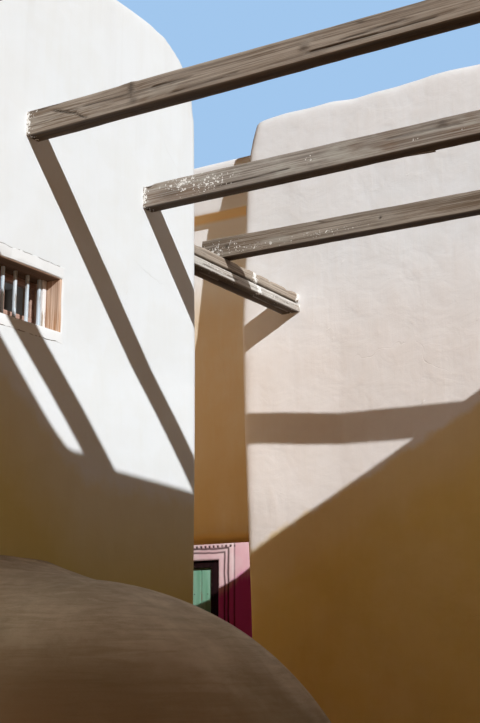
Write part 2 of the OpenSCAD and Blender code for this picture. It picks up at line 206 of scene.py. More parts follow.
class Effect:
    """A shader effect that several finishes share, built once as a node group.

    Attributes:
        label: The group's name.
        takes: Its inputs with their values, and None for a vector.
        gives: Its outputs.
    """

    label = "effect"
    takes: dict[str, float | None] = {}
    gives: tuple[str, ...] = ()

    @classmethod
    def wire(cls, sheet: Sheet, given: Ports) -> Ports:
        """Builds the group's nodes.

        Args:
            sheet: The sheet of the group's tree.
            given: The group's inputs, by name.

        Returns:
            The signals to put out, by name.
        """
        raise NotImplementedError

    @classmethod
    def tree(cls) -> bpy.types.NodeTree:
        """Returns the group's tree, and makes it on first use."""
        known = bpy.data.node_groups.get(cls.label)
        if known:
            return known
        tree = bpy.data.node_groups.new(cls.label, "ShaderNodeTree")
        for name, value in cls.takes.items():
            kind = "NodeSocketVector" if value is None else "NodeSocketFloat"
            port = tree.interface.new_socket(name, in_out="INPUT", socket_type=kind)
            if value is not None:
                port.default_value = value
        for name in cls.gives:
            tree.interface.new_socket(name, in_out="OUTPUT", socket_type="NodeSocketFloat")
        sheet = Sheet(tree)
        source = tree.nodes.new("NodeGroupInput").outputs
        taken = tree.nodes.new("NodeGroupOutput").inputs
        given = {name: Signal(sheet, source[name]) for name in cls.takes}
        for name, signal in cls.wire(sheet, given).items():
            sheet.feed(taken[name], signal)
        return tree

    @classmethod
    def place(cls, sheet: Sheet, **values: object) -> Ports:
        """Places the group in a material.

        Args:
            sheet: The material's sheet.
            values: Signals or values for the group's inputs, by name.

        Returns:
            The group's outputs, by name.
        """
        node = sheet.add("Group", node_tree=cls.tree())
        for name, value in values.items():
            sheet.feed(node.inputs[name], value)
        return {name: Signal(sheet, node.outputs[name]) for name in cls.gives}


class HandPlaster(Effect):
    """Trowel sweeps, brush marks and sand grain of plaster laid by hand."""

    label = "Hand plaster"
    takes = {
        "Place": None,
        "Trowel": 0.004,
        "Ridge": 0.0008,
        "Brush": 0.0008,
        "Grain": 0.0005,
    }
    gives = ("Height", "Mottle", "Strokes", "Sand")
    sweeps = 2.4

    @classmethod
    def wire(cls, sheet: Sheet, given: Ports) -> Ports:
        """Layers broad sweeps, arcs, upright brush marks and grain."""
        place = given["Place"]
        broad = place.noise(cls.sweeps, 3.0, 0.45, 0.7)
        arcs = place.stretch(1.0, 1.0, 1.5).noise(cls.sweeps * 2.0, 3.0, 0.5, 0.5)
        strokes = place.stretch(15.0, 15.0, 1.7).noise(1.6, 4.0, 0.6, 0.4)
        sand = place.noise(95.0, 4.0, 0.7)
        x, y, z = place.split()
        lift = z * 0.6
        slant = sheet.joined(x + lift, y + lift, z - (x + y) * 0.6)
        scratch = slant.stretch(17.0, 17.0, 3.2).noise(1.0, 3.0, 0.55, 0.3)
        ridge = scratch.ramp(0.68, 0.8) * arcs.ramp(0.47, 0.6)
        height = ridge * given["Ridge"] + broad * given["Trowel"] + arcs * 0.5 * given["Trowel"]
        height = height + strokes * given["Brush"] + sand * given["Grain"]
        mottle = (broad + arcs * 0.6).ramp(0.68, 0.95)
        return {"Height": height, "Mottle": mottle, "Strokes": strokes, "Sand": sand}


class HairCracks(Effect):
    """Fine cracks of dry plaster, gathered in patches."""

    label = "Hair cracks"
    takes = {"Place": None, "Reach": 0.5}
    gives = ("Crack",)
    size, width, sway = 0.9, 0.0024, 0.55

    @classmethod
    def wire(cls, sheet: Sheet, given: Ports) -> Ports:
        """Bends cell edges with noise and keeps them only in patches."""
        bend = sheet.out("TexNoise", "Color", {"Vector": given["Place"], "Scale": 2.2, "Detail": 4.0})
        inputs = {0: bend, 1: (cls.sway,) * 3, 2: given["Place"]}
        warped = sheet.out("VectorMath", 0, inputs, operation="MULTIPLY_ADD")
        line = (1.0 - warped.cells(cls.size, "DISTANCE_TO_EDGE") / cls.width).at_least(0.0)
        patch = given["Place"].noise(0.9, 2.0, 0.6)
        return {"Crack": line * (patch + given["Reach"] * 0.3).ramp(0.62, 0.74)}


class GroundTint(Effect):
    """A tint that rises up a wall from the ground with a ragged edge: dusty splash on most walls, painted shade where
    it reaches high.
    """

    label = "Ground tint"
    takes = {"Place": None, "Low": 0.2, "High": 1.6}
    gives = ("Mask",)

    @classmethod
    def wire(cls, sheet: Sheet, given: Ports) -> Ports:
        """Fades with height, broken by noise."""
        ragged = given["Place"].stretch(1.0, 1.0, 0.45).noise(1.7, 5.0, 0.62)
        broken = given["Place"].split()[2] + ragged.ramp(0.25, 0.75, -0.7, 0.7)
        inputs = {"Value": broken, "From Min": given["High"], "From Max": given["Low"]}
        return {"Mask": sheet.out("MapRange", 0, inputs)}


class RainRuns(Effect):
    """Faint upright runs that rain leaves under a coping."""

    label = "Rain runs"
    takes = {"Place": None, "Top": 5.6}
    gives = ("Mask",)
    reach = 1.6

    @classmethod
    def wire(cls, sheet: Sheet, given: Ports) -> Ports:
        """Stretches noise upright and fades it below the coping."""
        runs = given["Place"].stretch(6.0, 6.0, 0.35).noise(1.0, 4.0, 0.6).ramp(0.5, 0.72)
        fade = 1.0 - (given["Top"] - given["Place"].split()[2]) / cls.reach
        return {"Mask": runs * fade.at_least(0.0)}


class WoodFibre(Effect):
    """Fibre, growth bands and drying checks of old timber, with the grain along the first axis."""

    label = "Wood fibre"
    takes = {"Grain": None, "Depth": 0.0012}
    gives = ("Height", "Fibre", "Band", "Check")

    @classmethod
    def wire(cls, sheet: Sheet, given: Ports) -> Ports:
        """Stretches noise along the grain and opens checks between the fibres."""
        grain = given["Grain"]
        fibre = grain.stretch(1.5, 150.0, 150.0).noise(1.0, 4.0, 0.62)
        band = grain.stretch(0.9, 26.0, 26.0).noise(1.0, 4.0, 0.6, 0.7)
        line = grain.stretch(0.8, 21.0, 21.0).cells(1.0, "DISTANCE_TO_EDGE").ramp(0.0, 0.028, 1.0, 0.0)
        check = line * grain.stretch(1.0, 7.0, 7.0).noise(1.0).ramp(0.54, 0.6) * 0.5
        relief = fibre + band * 0.8 - check * 1.6
        return {"Height": relief * given["Depth"], "Fibre": fibre, "Band": band, "Check": check}


class LimeFlecks(Effect):
    """Splashes of whitewash: solid where the mark is full and drops where it is weak."""

    label = "Lime flecks"
    takes = {"Place": None, "Mark": 0.0}
    gives = ("Mask",)

    @classmethod
    def wire(cls, sheet: Sheet, given: Ports) -> Ports:
        """Grows drops with the mark until they join."""
        place, mark = given["Place"], given["Mark"]
        blots = place.noise(48.0, 3.0, 0.6).ramp(0.3, 0.7, -0.42, 0.42)
        size = mark * 0.52 + (blots - 0.14) + sheet.math("POWER", mark, 5.0) * 0.7
        return {"Mask": (size - place.cells(88.0)).ramp(0.0, 0.07) * mark.ramp(0.02, 0.1)}


class PaintWear(Effect):
    """Places where paint has worn off timber, along the grain and at the arrises."""

    label = "Paint wear"
    takes = {"Grain": None, "Amount": 0.3, "Arris": 0.0}
    gives = ("Bare", "Tone")

    @classmethod
    def wire(cls, sheet: Sheet, given: Ports) -> Ports:
        """Breaks the paint film with stretched noise that gathers at the arrises."""
        flakes = given["Grain"].stretch(7.0, 60.0, 60.0).noise(1.0, 6.0, 0.66)
        tone = given["Grain"].stretch(1.2, 22.0, 22.0).noise(1.0, 4.0, 0.55)
        reach = given["Amount"] + given["Arris"] * 0.22
        return {"Bare": (flakes + reach * 0.6).ramp(0.72, 0.79), "Tone": tone}


class Grain(Enum):
    """The direction that a timber's fibres run in."""

    ALONG_X = (0, 1, 2)
    ALONG_Y = (1, 0, 2)
    UPRIGHT = (2, 0, 1)

    def turned(self, sheet: Sheet, place: Signal) -> Signal:
        """Returns the place with the fibres along its first axis."""
        parts = place.split()
        return sheet.joined(*(parts[i] for i in self.value))


@dataclass(frozen=True)
class Coat:
    """What a finish gives its shader.

    Attributes:
        colour: Base colour.
        roughness: Roughness.
        height: Relief in metres.
    """

    colour: Signal
    roughness: Signal
    height: Signal


@dataclass(frozen=True)
class Finish:
    """A surface finish with the record's material slot that it stands for."""

    label: str
    slot: str

    def coat(self, sheet: Sheet, place: Signal) -> Coat:
        """Mixes the finish.

        Args:
            sheet: The material's sheet.
            place: The place on the piece, in the part's frame.

        Returns:
            Its colour, roughness and relief.
        """
        raise NotImplementedError

    def mark(self, sheet: Sheet, name: str) -> Signal:
        """Returns a mark that the mesh carries on its points."""
        return sheet.out("Attribute", "Fac", attribute_name=name, attribute_type="GEOMETRY")

    def material(self) -> bpy.types.Material:
        """Returns the finish as a material, and makes it on first use."""
        known = bpy.data.materials.get(self.label)
        if known:
            return known
        material = bpy.data.materials.new(self.label)
        material.use_nodes = True
        material.node_tree.nodes.clear()
        sheet = Sheet(material.node_tree)
        coat = self.coat(sheet, sheet.out("TexCoord", "Object"))
        bump = sheet.out("Bump", 0, {"Height": coat.height, "Distance": 1.0, "Strength": 1.0})
        inputs = {"Base Color": coat.colour, "Roughness": coat.roughness, "Normal": bump, "Specular IOR Level": 0.25}
        sheet.add("OutputMaterial", {"Surface": sheet.out("BsdfPrincipled", 0, inputs)})
        return material

    def dress(self, node: str) -> None:
        """Gives a CAD node this finish."""
        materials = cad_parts[node].data.materials
        materials.clear()
        materials.append(self.material())


@dataclass(frozen=True)
class Plaster(Finish):
    """Limewashed or painted plaster on adobe.

    Attributes:
        pale: Colour of the wash.
        warm: Colour where the wash is thin.
        ground: Colour of the tint that rises from the ground: dusty splash on most walls, painted shade on the portal,
            and on the oven a darkening towards the bottom.
        low: Height up to which the tint covers fully.
        high: Height where the tint ends.
        top: Height of the coping, for rain runs.
        trowel: Depth of the trowel sweeps.
        ridge: Height of the ridges that the trowel's edge leaves.
        brush: Depth of the brush marks.
        grain: Depth of the sand grain.
        cracks: How far the hair cracks reach.
        runs: Strength of the rain runs.
    """

    pale: Colour = (0.84, 0.83, 0.80)
    warm: Colour = (0.76, 0.73, 0.68)
    ground: Colour = (0.56, 0.45, 0.32)
    low: float = -0.2
    high: float = 1.5
    top: float = 5.6
    trowel: float = 0.004
    ridge: float = 0.0006
    brush: float = 0.0006
    grain: float = 0.0004
    cracks: float = 0.4
    runs: float = 0.12

    def wash(self, sheet: Sheet, place: Signal, relief: Ports) -> Signal:
        """Returns the colour of the wash before the rising tint, rain and cracks."""
        thin = relief["Mottle"] * 0.55 + relief["Strokes"].ramp(0.42, 0.72, 0.0, 0.32)
        return sheet.blend(thin, self.pale, self.warm)

    def extra(self, sheet: Sheet, place: Signal, colour: Signal, height: Signal) -> tuple[Signal, Signal]:
        """Adds what only one wall has.

        Args:
            sheet: The material's sheet.
            place: The place on the wall.
            colour: The colour so far.
            height: The relief so far.

        Returns:
            The colour and the relief with it.
        """
        return colour, height

    def coat(self, sheet: Sheet, place: Signal) -> Coat:
        """Layers the wash, the tint that rises from the ground, rain runs and cracks."""
        relief = HandPlaster.place(
            sheet, Place=place, Trowel=self.trowel, Ridge=self.ridge, Brush=self.brush, Grain=self.grain
        )
        dust_and_shade = GroundTint.place(sheet, Place=place, Low=self.low, High=self.high)["Mask"]
        rain = RainRuns.place(sheet, Place=place, Top=self.top)["Mask"]
        crack = HairCracks.place(sheet, Place=place, Reach=self.cracks)["Crack"]
        # The rising tint is dusty splash on most walls and painted shade on the portal.
        colour = self.wash(sheet, place, relief).blend(dust_and_shade * 0.8, self.ground)
        colour = colour.blend(rain * self.runs, (0.42, 0.38, 0.33)).blend(crack * 0.25, (0.45, 0.37, 0.29))
        colour, height = self.extra(sheet, place, colour, relief["Height"] - crack * 0.0012)
        return Coat(colour, relief["Sand"].ramp(0.2, 0.8, 0.82, 0.97), height)


@dataclass(frozen=True)
class WindowWall(Plaster):
    """Lime wash with a smoother band of plaster round the front window, and painted shade on the lower wall and in the
    room behind it.

    Attributes:
        band: Left, right, lower and upper limit of the band on the front wall.
        face_y: The plane of the front wall's face.
        room: The room behind the wall, whose plaster is darkened as painted shade.
        painted_room_shade: Colour of the painted shade on the room's plaster.
        painted_shade_colour: Tint of the painted shade on the lower wall towards the yard.
    """

    band: tuple[float, float, float, float] = (-3.44, -2.505, 3.238, 3.679)
    face_y: float = -0.425
    room: Box = ((-5.27, 0.02, 0.0), (-1.6, 3.85, 4.7))
    painted_room_shade: Colour = (0.1, 0.075, 0.055)
    painted_shade_colour: Colour = (0.9, 0.74, 0.31)

    def painted_shade_mask(self, sheet: Sheet, x: Signal, z: Signal, sway: Signal) -> Signal:
        """Returns the painted shade on the lower wall, whose edge follows the shadow line and rises away from the
        passage.
        """
        aside = sheet.math("MINIMUM", x + 2.3, 0.0).at_least(-1.0)
        level = z + aside * 0.7 + sway.ramp(0.2, 0.8, -0.03, 0.03)
        painted_shade_share = level.ramp(2.56, 2.42, 0.0, 0.5) + level.ramp(2.5, 1.8, 0.0, 0.5)
        return painted_shade_share * x.ramp(-3.9, -3.3, 0.25, 1.0)

    def room_shade_mask(self, x: Signal, y: Signal, z: Signal) -> Signal:
        """Returns where the wall faces the room, which is darkened as painted shade."""
        (x0, y0, _), (x1, y1, z1) = self.room
        across = x.inside(x0, x1, 0.01) * y.ramp(y0 - 0.06, y0) * y.ramp(y1, y1 + 0.02, 1.0, 0.0)
        return across * z.ramp(z1, z1 + 0.02, 1.0, 0.0)

    def extra(self, sheet: Sheet, place: Signal, colour: Signal, height: Signal) -> tuple[Signal, Signal]:
        """Adds the band with the cracks that run along its upper and lower edge, and paints shade on the lower wall and
        in the room.
        """
        sway = place.noise(5.0, 4.0, 0.6)
        x, y, z = place.split()
        x, z = x + sway.ramp(0.2, 0.8, -0.012, 0.012), z + sway.ramp(0.2, 0.8, -0.009, 0.009)
        left, right, low, high = self.band
        front = y.ramp(self.face_y + 0.06, self.face_y + 0.1, 1.0, 0.0)
        # Painted shade: the lower wall is tinted golden below the shadow line.
        colour = colour.tint(self.painted_shade_mask(sheet, x, z, sway) * front, self.painted_shade_colour)
        band = x.inside(left, right, 0.022) * z.inside(low, high, 0.003) * front
        colour = colour.blend(band * 0.5, (0.82, 0.815, 0.80))
        breaks = x.inside(left, right - 0.035, 0.004) * place.noise(9.0, 3.0, 0.7).ramp(0.4, 0.5)
        for level, strength in ((low, 0.85), (high, 0.5)):
            line = z.inside(level - 0.0022, level + 0.0022, 0.0016) * front * breaks
            colour = colour.blend(line * strength, (0.16, 0.12, 0.08))
            height = height - line * 0.003
        # Painted shade: the room's plaster is darkened.
        return colour.blend(self.room_shade_mask(x, y, z) * 0.95, self.painted_room_shade), height + band * 0.002


@dataclass(frozen=True)
class PassageWall(Plaster):
    """Cream wash, very white on the passage faces as painted light, with painted shade on its lower part towards the
    passage.

    Attributes:
        painted_shade_colour: Tint of the painted shade on the lower part.
        lower_warmth: Tint that makes the wall warmer downwards from below the coping.
        patch: Tint of the cloudy patches.
        street: Tint of the faces away from the passage, which lack the painted light of the passage faces.
        level: Height of the painted shade's edge at the court corner.
        slant: How much the edge rises towards the yard.
    """

    painted_shade_colour: Colour = (0.895, 0.68, 0.205)
    lower_warmth: Colour = (0.965, 0.885, 0.83)
    patch: Colour = (0.955, 0.95, 0.94)
    street: Colour = (0.76, 0.725, 0.68)
    level: float = 2.43
    slant: float = 0.505

    def extra(self, sheet: Sheet, place: Signal, colour: Signal, height: Signal) -> tuple[Signal, Signal]:
        """Lays painted shade on the lower passage side below the shadow line, and tints the rest."""
        x, y, z = place.split()
        sway = place.noise(5.0, 4.0, 0.6).ramp(0.2, 0.8, -0.03, 0.03)
        level, edge = z + y.at_least(-2.3) * self.slant + sway, self.level - 0.08
        painted_shade_share = level.ramp(self.level, edge, 0.0, 0.74) + level.ramp(edge, self.level - 0.6, 0.0, 0.22)
        painted_shade_share = painted_shade_share * place.noise(1.6, 4.0, 0.65).ramp(0.3, 0.7, 0.92, 1.0)
        yard = y.ramp(-3.95, -3.8)
        colour = colour.tint(place.noise(2.6, 4.0, 0.65).ramp(0.36, 0.66, 0.0, 0.7), self.patch)
        # Warmer towards the bottom.
        colour = colour.tint(z.ramp(4.7, 3.6), self.lower_warmth)
        # The passage faces keep the very white wash as painted light, making up for the sun that grazes them; the other
        # faces get this plain tint.
        colour = colour.tint(1.0 - x.ramp(0.52, 0.8, 1.0, 0.0) * yard, self.street)
        # Painted shade: the lower passage face is tinted golden below the shadow line.
        return colour.tint(painted_shade_share * x.ramp(0.5, 0.62, 1.0, 0.0) * yard, self.painted_shade_colour), height


@dataclass(frozen=True)
class PortalWall(Plaster):
    """Portal plaster, with painted shade where it faces down.

    Attributes:
        painted_shade_colour: Colour of the painted shade on its undersides.
        lime: Colour of its top.
    """

    painted_shade_colour: Colour = (0.98, 0.64, 0.2)
    lime: Colour = (0.96, 0.965, 0.975)

    def extra(self, sheet: Sheet, place: Signal, colour: Signal, height: Signal) -> tuple[Signal, Signal]:
        """Paints shade onto the undersides and whitens the top."""
        colour = colour.blend(place.split()[2].ramp(4.25, 4.7), self.lime)
        # Painted shade: faces that look down turn golden.
        return colour.blend(sheet.facing_up().ramp(-0.3, -0.7, 0.0, 0.78), self.painted_shade_colour), height


@dataclass(frozen=True)
class PaintedWall(Plaster):
    """Pink wash towards the court, plain plaster on the sides that the brush didn't reach.

    Attributes:
        deep: Colour of the stronger wash on the lower wall, partly real paint and partly painted shade below the shadow
            line.
        bare: Colour of the unpainted plaster.
        line: Colour in the incised lines and dentil gaps, painted shade.
        paint_x: Where the painted side ends.
    """

    deep: Colour = (0.66, 0.085, 0.4)
    bare: Colour = (0.66, 0.56, 0.43)
    line: Colour = (0.03, 0.006, 0.008)
    paint_x: float = 3.16

    def wash(self, sheet: Sheet, place: Signal, relief: Ports) -> Signal:
        """Deepens the pink down the wall in upright strokes below a slanting edge that follows the shadow line, partly
        painted shade, and darkens the grooves as painted shade.
        """
        x, y, z = place.split()
        strokes = place.stretch(9.0, 9.0, 0.8).noise(1.4, 4.0, 0.6, 0.5)
        level = z + y * 0.5 + strokes.ramp(0.3, 0.7, -0.05, 0.05)
        colour = sheet.blend(relief["Mottle"] * 0.5, self.pale, self.warm)
        # Partly painted shade: the deeper pink starts at a slanting edge that follows the shadow line.
        colour = colour.blend(level.ramp(3.2, 3.34, 1.0, 0.0), self.deep)
        # Painted shade: the grooves and dentil gaps that the dark mark gives are darkened.
        colour = colour.blend(self.mark(sheet, "dark") * 0.95, self.line)
        return colour.blend(x.ramp(self.paint_x - 0.03, self.paint_x + 0.03), self.bare)


@dataclass(frozen=True)
class DomePlaster(Plaster):
    """Smoke-stained mud plaster, stroked round the dome by hand.

    Attributes:
        centre: The dome's axis on the ground.
        olive: Colour of the olive stains.
        lower_left_dark: Colour that the lower left of the dome darkens to.
    """

    centre: tuple[float, float] = (-2.927, -0.888)
    olive: Colour = (0.25, 0.21, 0.13)
    lower_left_dark: Colour = (0.2, 0.135, 0.06)

    def wash(self, sheet: Sheet, place: Signal, relief: Ports) -> Signal:
        """Draws level strokes round the dome, stains them and darkens its lower left."""
        x, y, z = place.split()
        around = sheet.math("ARCTAN2", y - self.centre[1], x - self.centre[0])
        strokes = sheet.joined(around * 2.2, z * 26.0, 0.0).noise(1.3, 6.0, 0.68, 0.5)
        stain = place.noise(2.4, 5.0, 0.64, 0.5)
        mixed = strokes * 0.62 + stain * 0.5 + relief["Sand"] * 0.12
        olive = place.noise(1.1, 4.0, 0.62, 0.6).ramp(0.47, 0.66, 0.0, 0.5)
        # Darker towards the lower left.
        foot = x.ramp(-3.15, -3.7) * z.ramp(1.75, 1.4, 0.0, 0.8)
        return sheet.blend(mixed.ramp(0.5, 0.76), self.pale, self.warm).blend(olive, self.olive).blend(foot, self.lower_left_dark)


@dataclass(frozen=True)
class OldTimber(Finish):
    """Sun-bleached timber with checks and splashes of whitewash, and painted shade on its undersides.

    Attributes:
        sheltered: Where along Y a wall shelters it, and where it no longer does.
        bleach: How strong its bleached patches are.
    """

    grain: Grain = Grain.ALONG_Y
    pale: Colour = (0.46, 0.40, 0.335)
    brown: Colour = (0.2, 0.135, 0.09)
    under: Colour = (0.028, 0.016, 0.008)
    belly: Colour = (0.06, 0.032, 0.01)
    lime: Colour = (0.84, 0.82, 0.78)
    grey: Colour = (0.27, 0.235, 0.195)
    weathered: float = 0.8
    relief: float = 0.0024
    sheltered: tuple[float, float] = (9.0, 8.0)
    bleach: float = 0.0

    def coat(self, sheet: Sheet, place: Signal) -> Coat:
        """Mixes the fibre colours and lays the marks of the mesh over them."""
        turned = self.grain.turned(sheet, place)
        wood = WoodFibre.place(sheet, Grain=turned, Depth=self.relief)
        body = wood["Fibre"] * 0.7 + wood["Band"] * 0.5
        grey = place.noise(1.7, 3.0, 0.6).ramp(0.34, 0.6) * place.split()[1].ramp(*self.sheltered, 0.2, 1.0)
        bleached = turned.stretch(3.0, 11.0, 11.0).noise(1.0, 4.0, 0.6).ramp(0.52, 0.7, 0.0, self.bleach)
        colour = sheet.blend(grey * self.weathered, self.brown, self.grey).blend(body.ramp(0.52, 0.74), self.pale)
        colour = colour.blend(wood["Fibre"].ramp(0.47, 0.4) * 0.2, self.under).blend(bleached, (0.5, 0.485, 0.43))
        # Painted shade: faces that look down get the under and belly colours.
        shade = sheet.blend(body.ramp(0.5, 0.7), self.under, self.belly)
        colour = colour.blend(sheet.facing_up().ramp(-0.5, -0.8, 0.0, 0.95), shade)
        colour = colour.blend(self.mark(sheet, "wear") * 0.35, self.pale)
        colour = colour.blend(self.mark(sheet, "dark").at_least(wood["Check"] * 0.9), (0.03, 0.02, 0.014))
        lime = LimeFlecks.place(sheet, Place=place, Mark=self.mark(sheet, "lime"))["Mask"]
        height = wood["Height"] + lime * 0.0012
        return Coat(colour.blend(lime, self.lime), wood["Fibre"].ramp(0.3, 0.7, 0.72, 0.92), height)


@dataclass(frozen=True)
class PaintedTimber(Finish):
    """Old paint on timber, worn along the grain."""

    grain: Grain = Grain.UPRIGHT
    paint: Colour = (0.16, 0.36, 0.26)
    second: Colour = (0.24, 0.47, 0.37)
    wood: Colour = (0.22, 0.15, 0.1)
    amount: float = 0.2
    rough: float = 0.6

    def coat(self, sheet: Sheet, place: Signal) -> Coat:
        """Lays two tones of paint over the bare wood."""
        turned = self.grain.turned(sheet, place)
        wood = WoodFibre.place(sheet, Grain=turned, Depth=0.0007)
        wear = PaintWear.place(sheet, Grain=turned, Amount=self.amount, Arris=self.mark(sheet, "wear"))
        bare = sheet.blend(wood["Fibre"], self.wood, (0.4, 0.31, 0.23))
        colour = sheet.blend(wear["Tone"].ramp(0.35, 0.68), self.paint, self.second).blend(wear["Bare"], bare)
        colour = colour.blend(self.mark(sheet, "dark").at_least(wood["Check"] * 0.5), (0.03, 0.025, 0.02))
        return Coat(colour, wear["Bare"].ramp(0.0, 1.0, self.rough, 0.9), wood["Height"] - wear["Bare"] * 0.0006)


@dataclass(frozen=True)
class PackedEarth(Finish):
    """Rammed earth with straw and pebbles."""

    pale: Colour = (0.52, 0.43, 0.32)
    dark: Colour = (0.38, 0.29, 0.2)

    def coat(self, sheet: Sheet, place: Signal) -> Coat:
        """Scatters clods, pebbles and straw over two tones of earth."""
        clods = place.noise(5.0, 6.0, 0.65, 0.4)
        pebbles = place.cells(34.0).ramp(0.12, 0.3, 1.0, 0.0) * place.noise(7.0).ramp(0.52, 0.62)
        straw = place.stretch(8.0, 70.0, 70.0).noise(1.0, 3.0, 0.5, 1.5).ramp(0.64, 0.7)
        colour = sheet.blend(clods.ramp(0.35, 0.68), self.dark, self.pale)
        colour = colour.blend(straw * 0.35, (0.68, 0.58, 0.42)).blend(pebbles * 0.4, (0.5, 0.47, 0.43))
        return Coat(colour, clods.ramp(0.2, 0.8, 0.86, 0.98), clods * 0.014 + pebbles * 0.004)


@dataclass(frozen=True)
class ForgedIron(Finish):
    """Hammered iron with rust."""

    def coat(self, sheet: Sheet, place: Signal) -> Coat:
        """Mixes scale and rust over hammer marks."""
        rust = place.noise(38.0, 5.0, 0.65).ramp(0.42, 0.66)
        colour = sheet.blend(rust, (0.06, 0.055, 0.05), (0.22, 0.1, 0.05))
        return Coat(colour, rust.ramp(0.0, 1.0, 0.55, 0.9), place.cells(70.0) * 0.0012 + rust * 0.0004)


class Palette:
    """The finishes of the house, each made once."""

    LIME = WindowWall(
        "Lime wash", "lime_wash", pale=(0.728, 0.752, 0.765), warm=(0.705, 0.72, 0.715), ground=(0.6, 0.5, 0.37),
        low=-0.6, high=1.6, ridge=0.0002, cracks=0.1,
    )
    YARD = Plaster(
        "Yard wall wash", "lime_wash", pale=(0.7, 0.665, 0.61), warm=(0.65, 0.605, 0.535), top=4.56, cracks=0.7,
        runs=0.3,
    )
    # The very white wash is painted light for the passage faces, which the sun grazes.
    CREAM = PassageWall(
        "Cream wash", "cream_wash", pale=(0.95, 0.965, 0.985), warm=(0.93, 0.925, 0.925), ground=(0.78, 0.56, 0.3),
        low=-0.6, high=1.4, top=5.8, trowel=0.008, ridge=0.0014, brush=0.0012, cracks=0.15, runs=0.06,
    )
    OCHRE = Plaster(
        "Ochre plaster", "ochre_plaster", pale=(0.78, 0.71, 0.6), warm=(0.69, 0.6, 0.47), ground=(0.54, 0.44, 0.3),
        high=1.8, trowel=0.005, brush=0.0009, cracks=0.5, runs=0.2,
    )
    # Painted shade: on the portal the ochre tint rises from the ground up to 5.1 m.
    PORTAL = PortalWall(
        "Portal plaster", "ochre_plaster", pale=(0.94, 0.9, 0.84), warm=(0.9, 0.8, 0.67), ground=(0.76, 0.5, 0.14),
        low=1.9, high=5.1, trowel=0.005, brush=0.0009, cracks=0.3, runs=0.15,
    )
    PINK = PaintedWall(
        "Pink wash", "pink_wash", pale=(0.76, 0.46, 0.51), warm=(0.79, 0.55, 0.58), ground=(0.38, 0.2, 0.2),
        high=0.9, top=4.2, brush=0.0016, cracks=0.6,
    )
    BAND = PaintedWall(
        "Band paint", "surround_paint", pale=(0.84, 0.58, 0.61), warm=(0.9, 0.82, 0.81), ground=(0.38, 0.2, 0.2),
        high=0.9, top=4.2, trowel=0.003, brush=0.001, cracks=0.6, deep=(0.68, 0.095, 0.41),
    )
    # On the oven the rising tint darkens the dome towards the bottom.
    OVEN = DomePlaster(
        "Oven plaster", "oven_plaster", pale=(0.67, 0.58, 0.45), warm=(0.47, 0.39, 0.28), ground=(0.3, 0.21, 0.12),
        low=0.5, high=2.0, top=2.1, trowel=0.006, ridge=0.0003, brush=0.0002, grain=0.0012, cracks=0.2, runs=0.1,
    )
    EARTH = PackedEarth("Packed earth", "earth")
    BEAM_Y = OldTimber(
        "Beam timber along the yard", "beam_timber", pale=(0.385, 0.35, 0.31), grey=(0.225, 0.203, 0.177),
        sheltered=(-0.65, -1.3), bleach=0.5,
    )
    BEAM_DARK = OldTimber(
        "Dark beam timber", "beam_timber", pale=(0.37, 0.32, 0.265), brown=(0.17, 0.12, 0.08),
        grey=(0.235, 0.2, 0.165), sheltered=(-0.65, -1.3), bleach=0.3,
    )
    BEAM_X = OldTimber(
        "Beam timber across the passage", "beam_timber", Grain.ALONG_X, (0.44, 0.37, 0.3), (0.22, 0.155, 0.105),
    )
    BEAM_PALE = OldTimber(
        "Pale timber across the passage", "beam_timber", Grain.ALONG_X, (0.6, 0.575, 0.53), (0.27, 0.19, 0.13),
        grey=(0.46, 0.43, 0.385), weathered=0.95,
    )
    JAMB = OldTimber(
        "Jamb timber", "window_timber", Grain.UPRIGHT, (0.74, 0.55, 0.42), (0.42, 0.2, 0.085), (0.2, 0.1, 0.05),
        grey=(0.66, 0.5, 0.4), weathered=0.6,
    )
    LINING = OldTimber(
        "Window timber", "window_timber", Grain.ALONG_X, (0.5, 0.31, 0.205), (0.24, 0.125, 0.07), (0.12, 0.065, 0.035),
    )
    CASEMENT = OldTimber(
        "Casement timber", "window_timber", Grain.ALONG_X, (0.52, 0.34, 0.27), (0.32, 0.18, 0.135), (0.2, 0.11, 0.08),
    )
    BAR = PaintedTimber(
        "Bar paint", "window_timber", paint=(0.5, 0.6, 0.68), second=(0.72, 0.77, 0.8), wood=(0.3, 0.3, 0.3),
        amount=0.1,
    )
    POST = PaintedTimber(
        "Post paint", "window_timber", paint=(0.78, 0.74, 0.72), second=(0.82, 0.79, 0.78),
        wood=(0.4, 0.35, 0.3), amount=0.15,
    )
    GREEN = PaintedTimber(
        "Green paint", "green_paint", paint=(0.22, 0.51, 0.34), second=(0.33, 0.64, 0.48), amount=0.05,
    )
    CRIMSON = PaintedTimber(
        "Crimson paint", "crimson_paint", paint=(0.01, 0.002, 0.003), second=(0.022, 0.004, 0.006),
        wood=(0.02, 0.008, 0.007), amount=0.02, rough=0.92,
    )
    IRON = ForgedIron("Forged iron", "iron")


class TrowelNoise:
    """Smooth seeded noise that is read at many points at once."""

    SIZE = 32

    def __init__(self, seed: int) -> None:
        """Fills the lattice from the seed."""
        self.lattice = np.random.default_rng(seed).uniform(-1.0, 1.0, (self.SIZE,) * 3)

    def at(self, points: np.ndarray, wavelength: float) -> np.ndarray:
        """Reads the noise.

        Args:
            points: One row per point.
            wavelength: The size of one feature.

        Returns:
            A value between -1 and 1 for each point.
        """
        scaled = points / wavelength + 100.0
        cell = np.floor(scaled).astype(int)
        part = scaled - cell
        part = part * part * (3.0 - 2.0 * part)
        total = np.zeros(len(points))
        for corner in np.ndindex(2, 2, 2):
            index = (cell + corner) % self.SIZE
            weight = np.prod(np.where(np.array(corner) == 1, part, 1.0 - part), axis=1)
            total += weight * self.lattice[index[:, 0], index[:, 1], index[:, 2]]
        return total


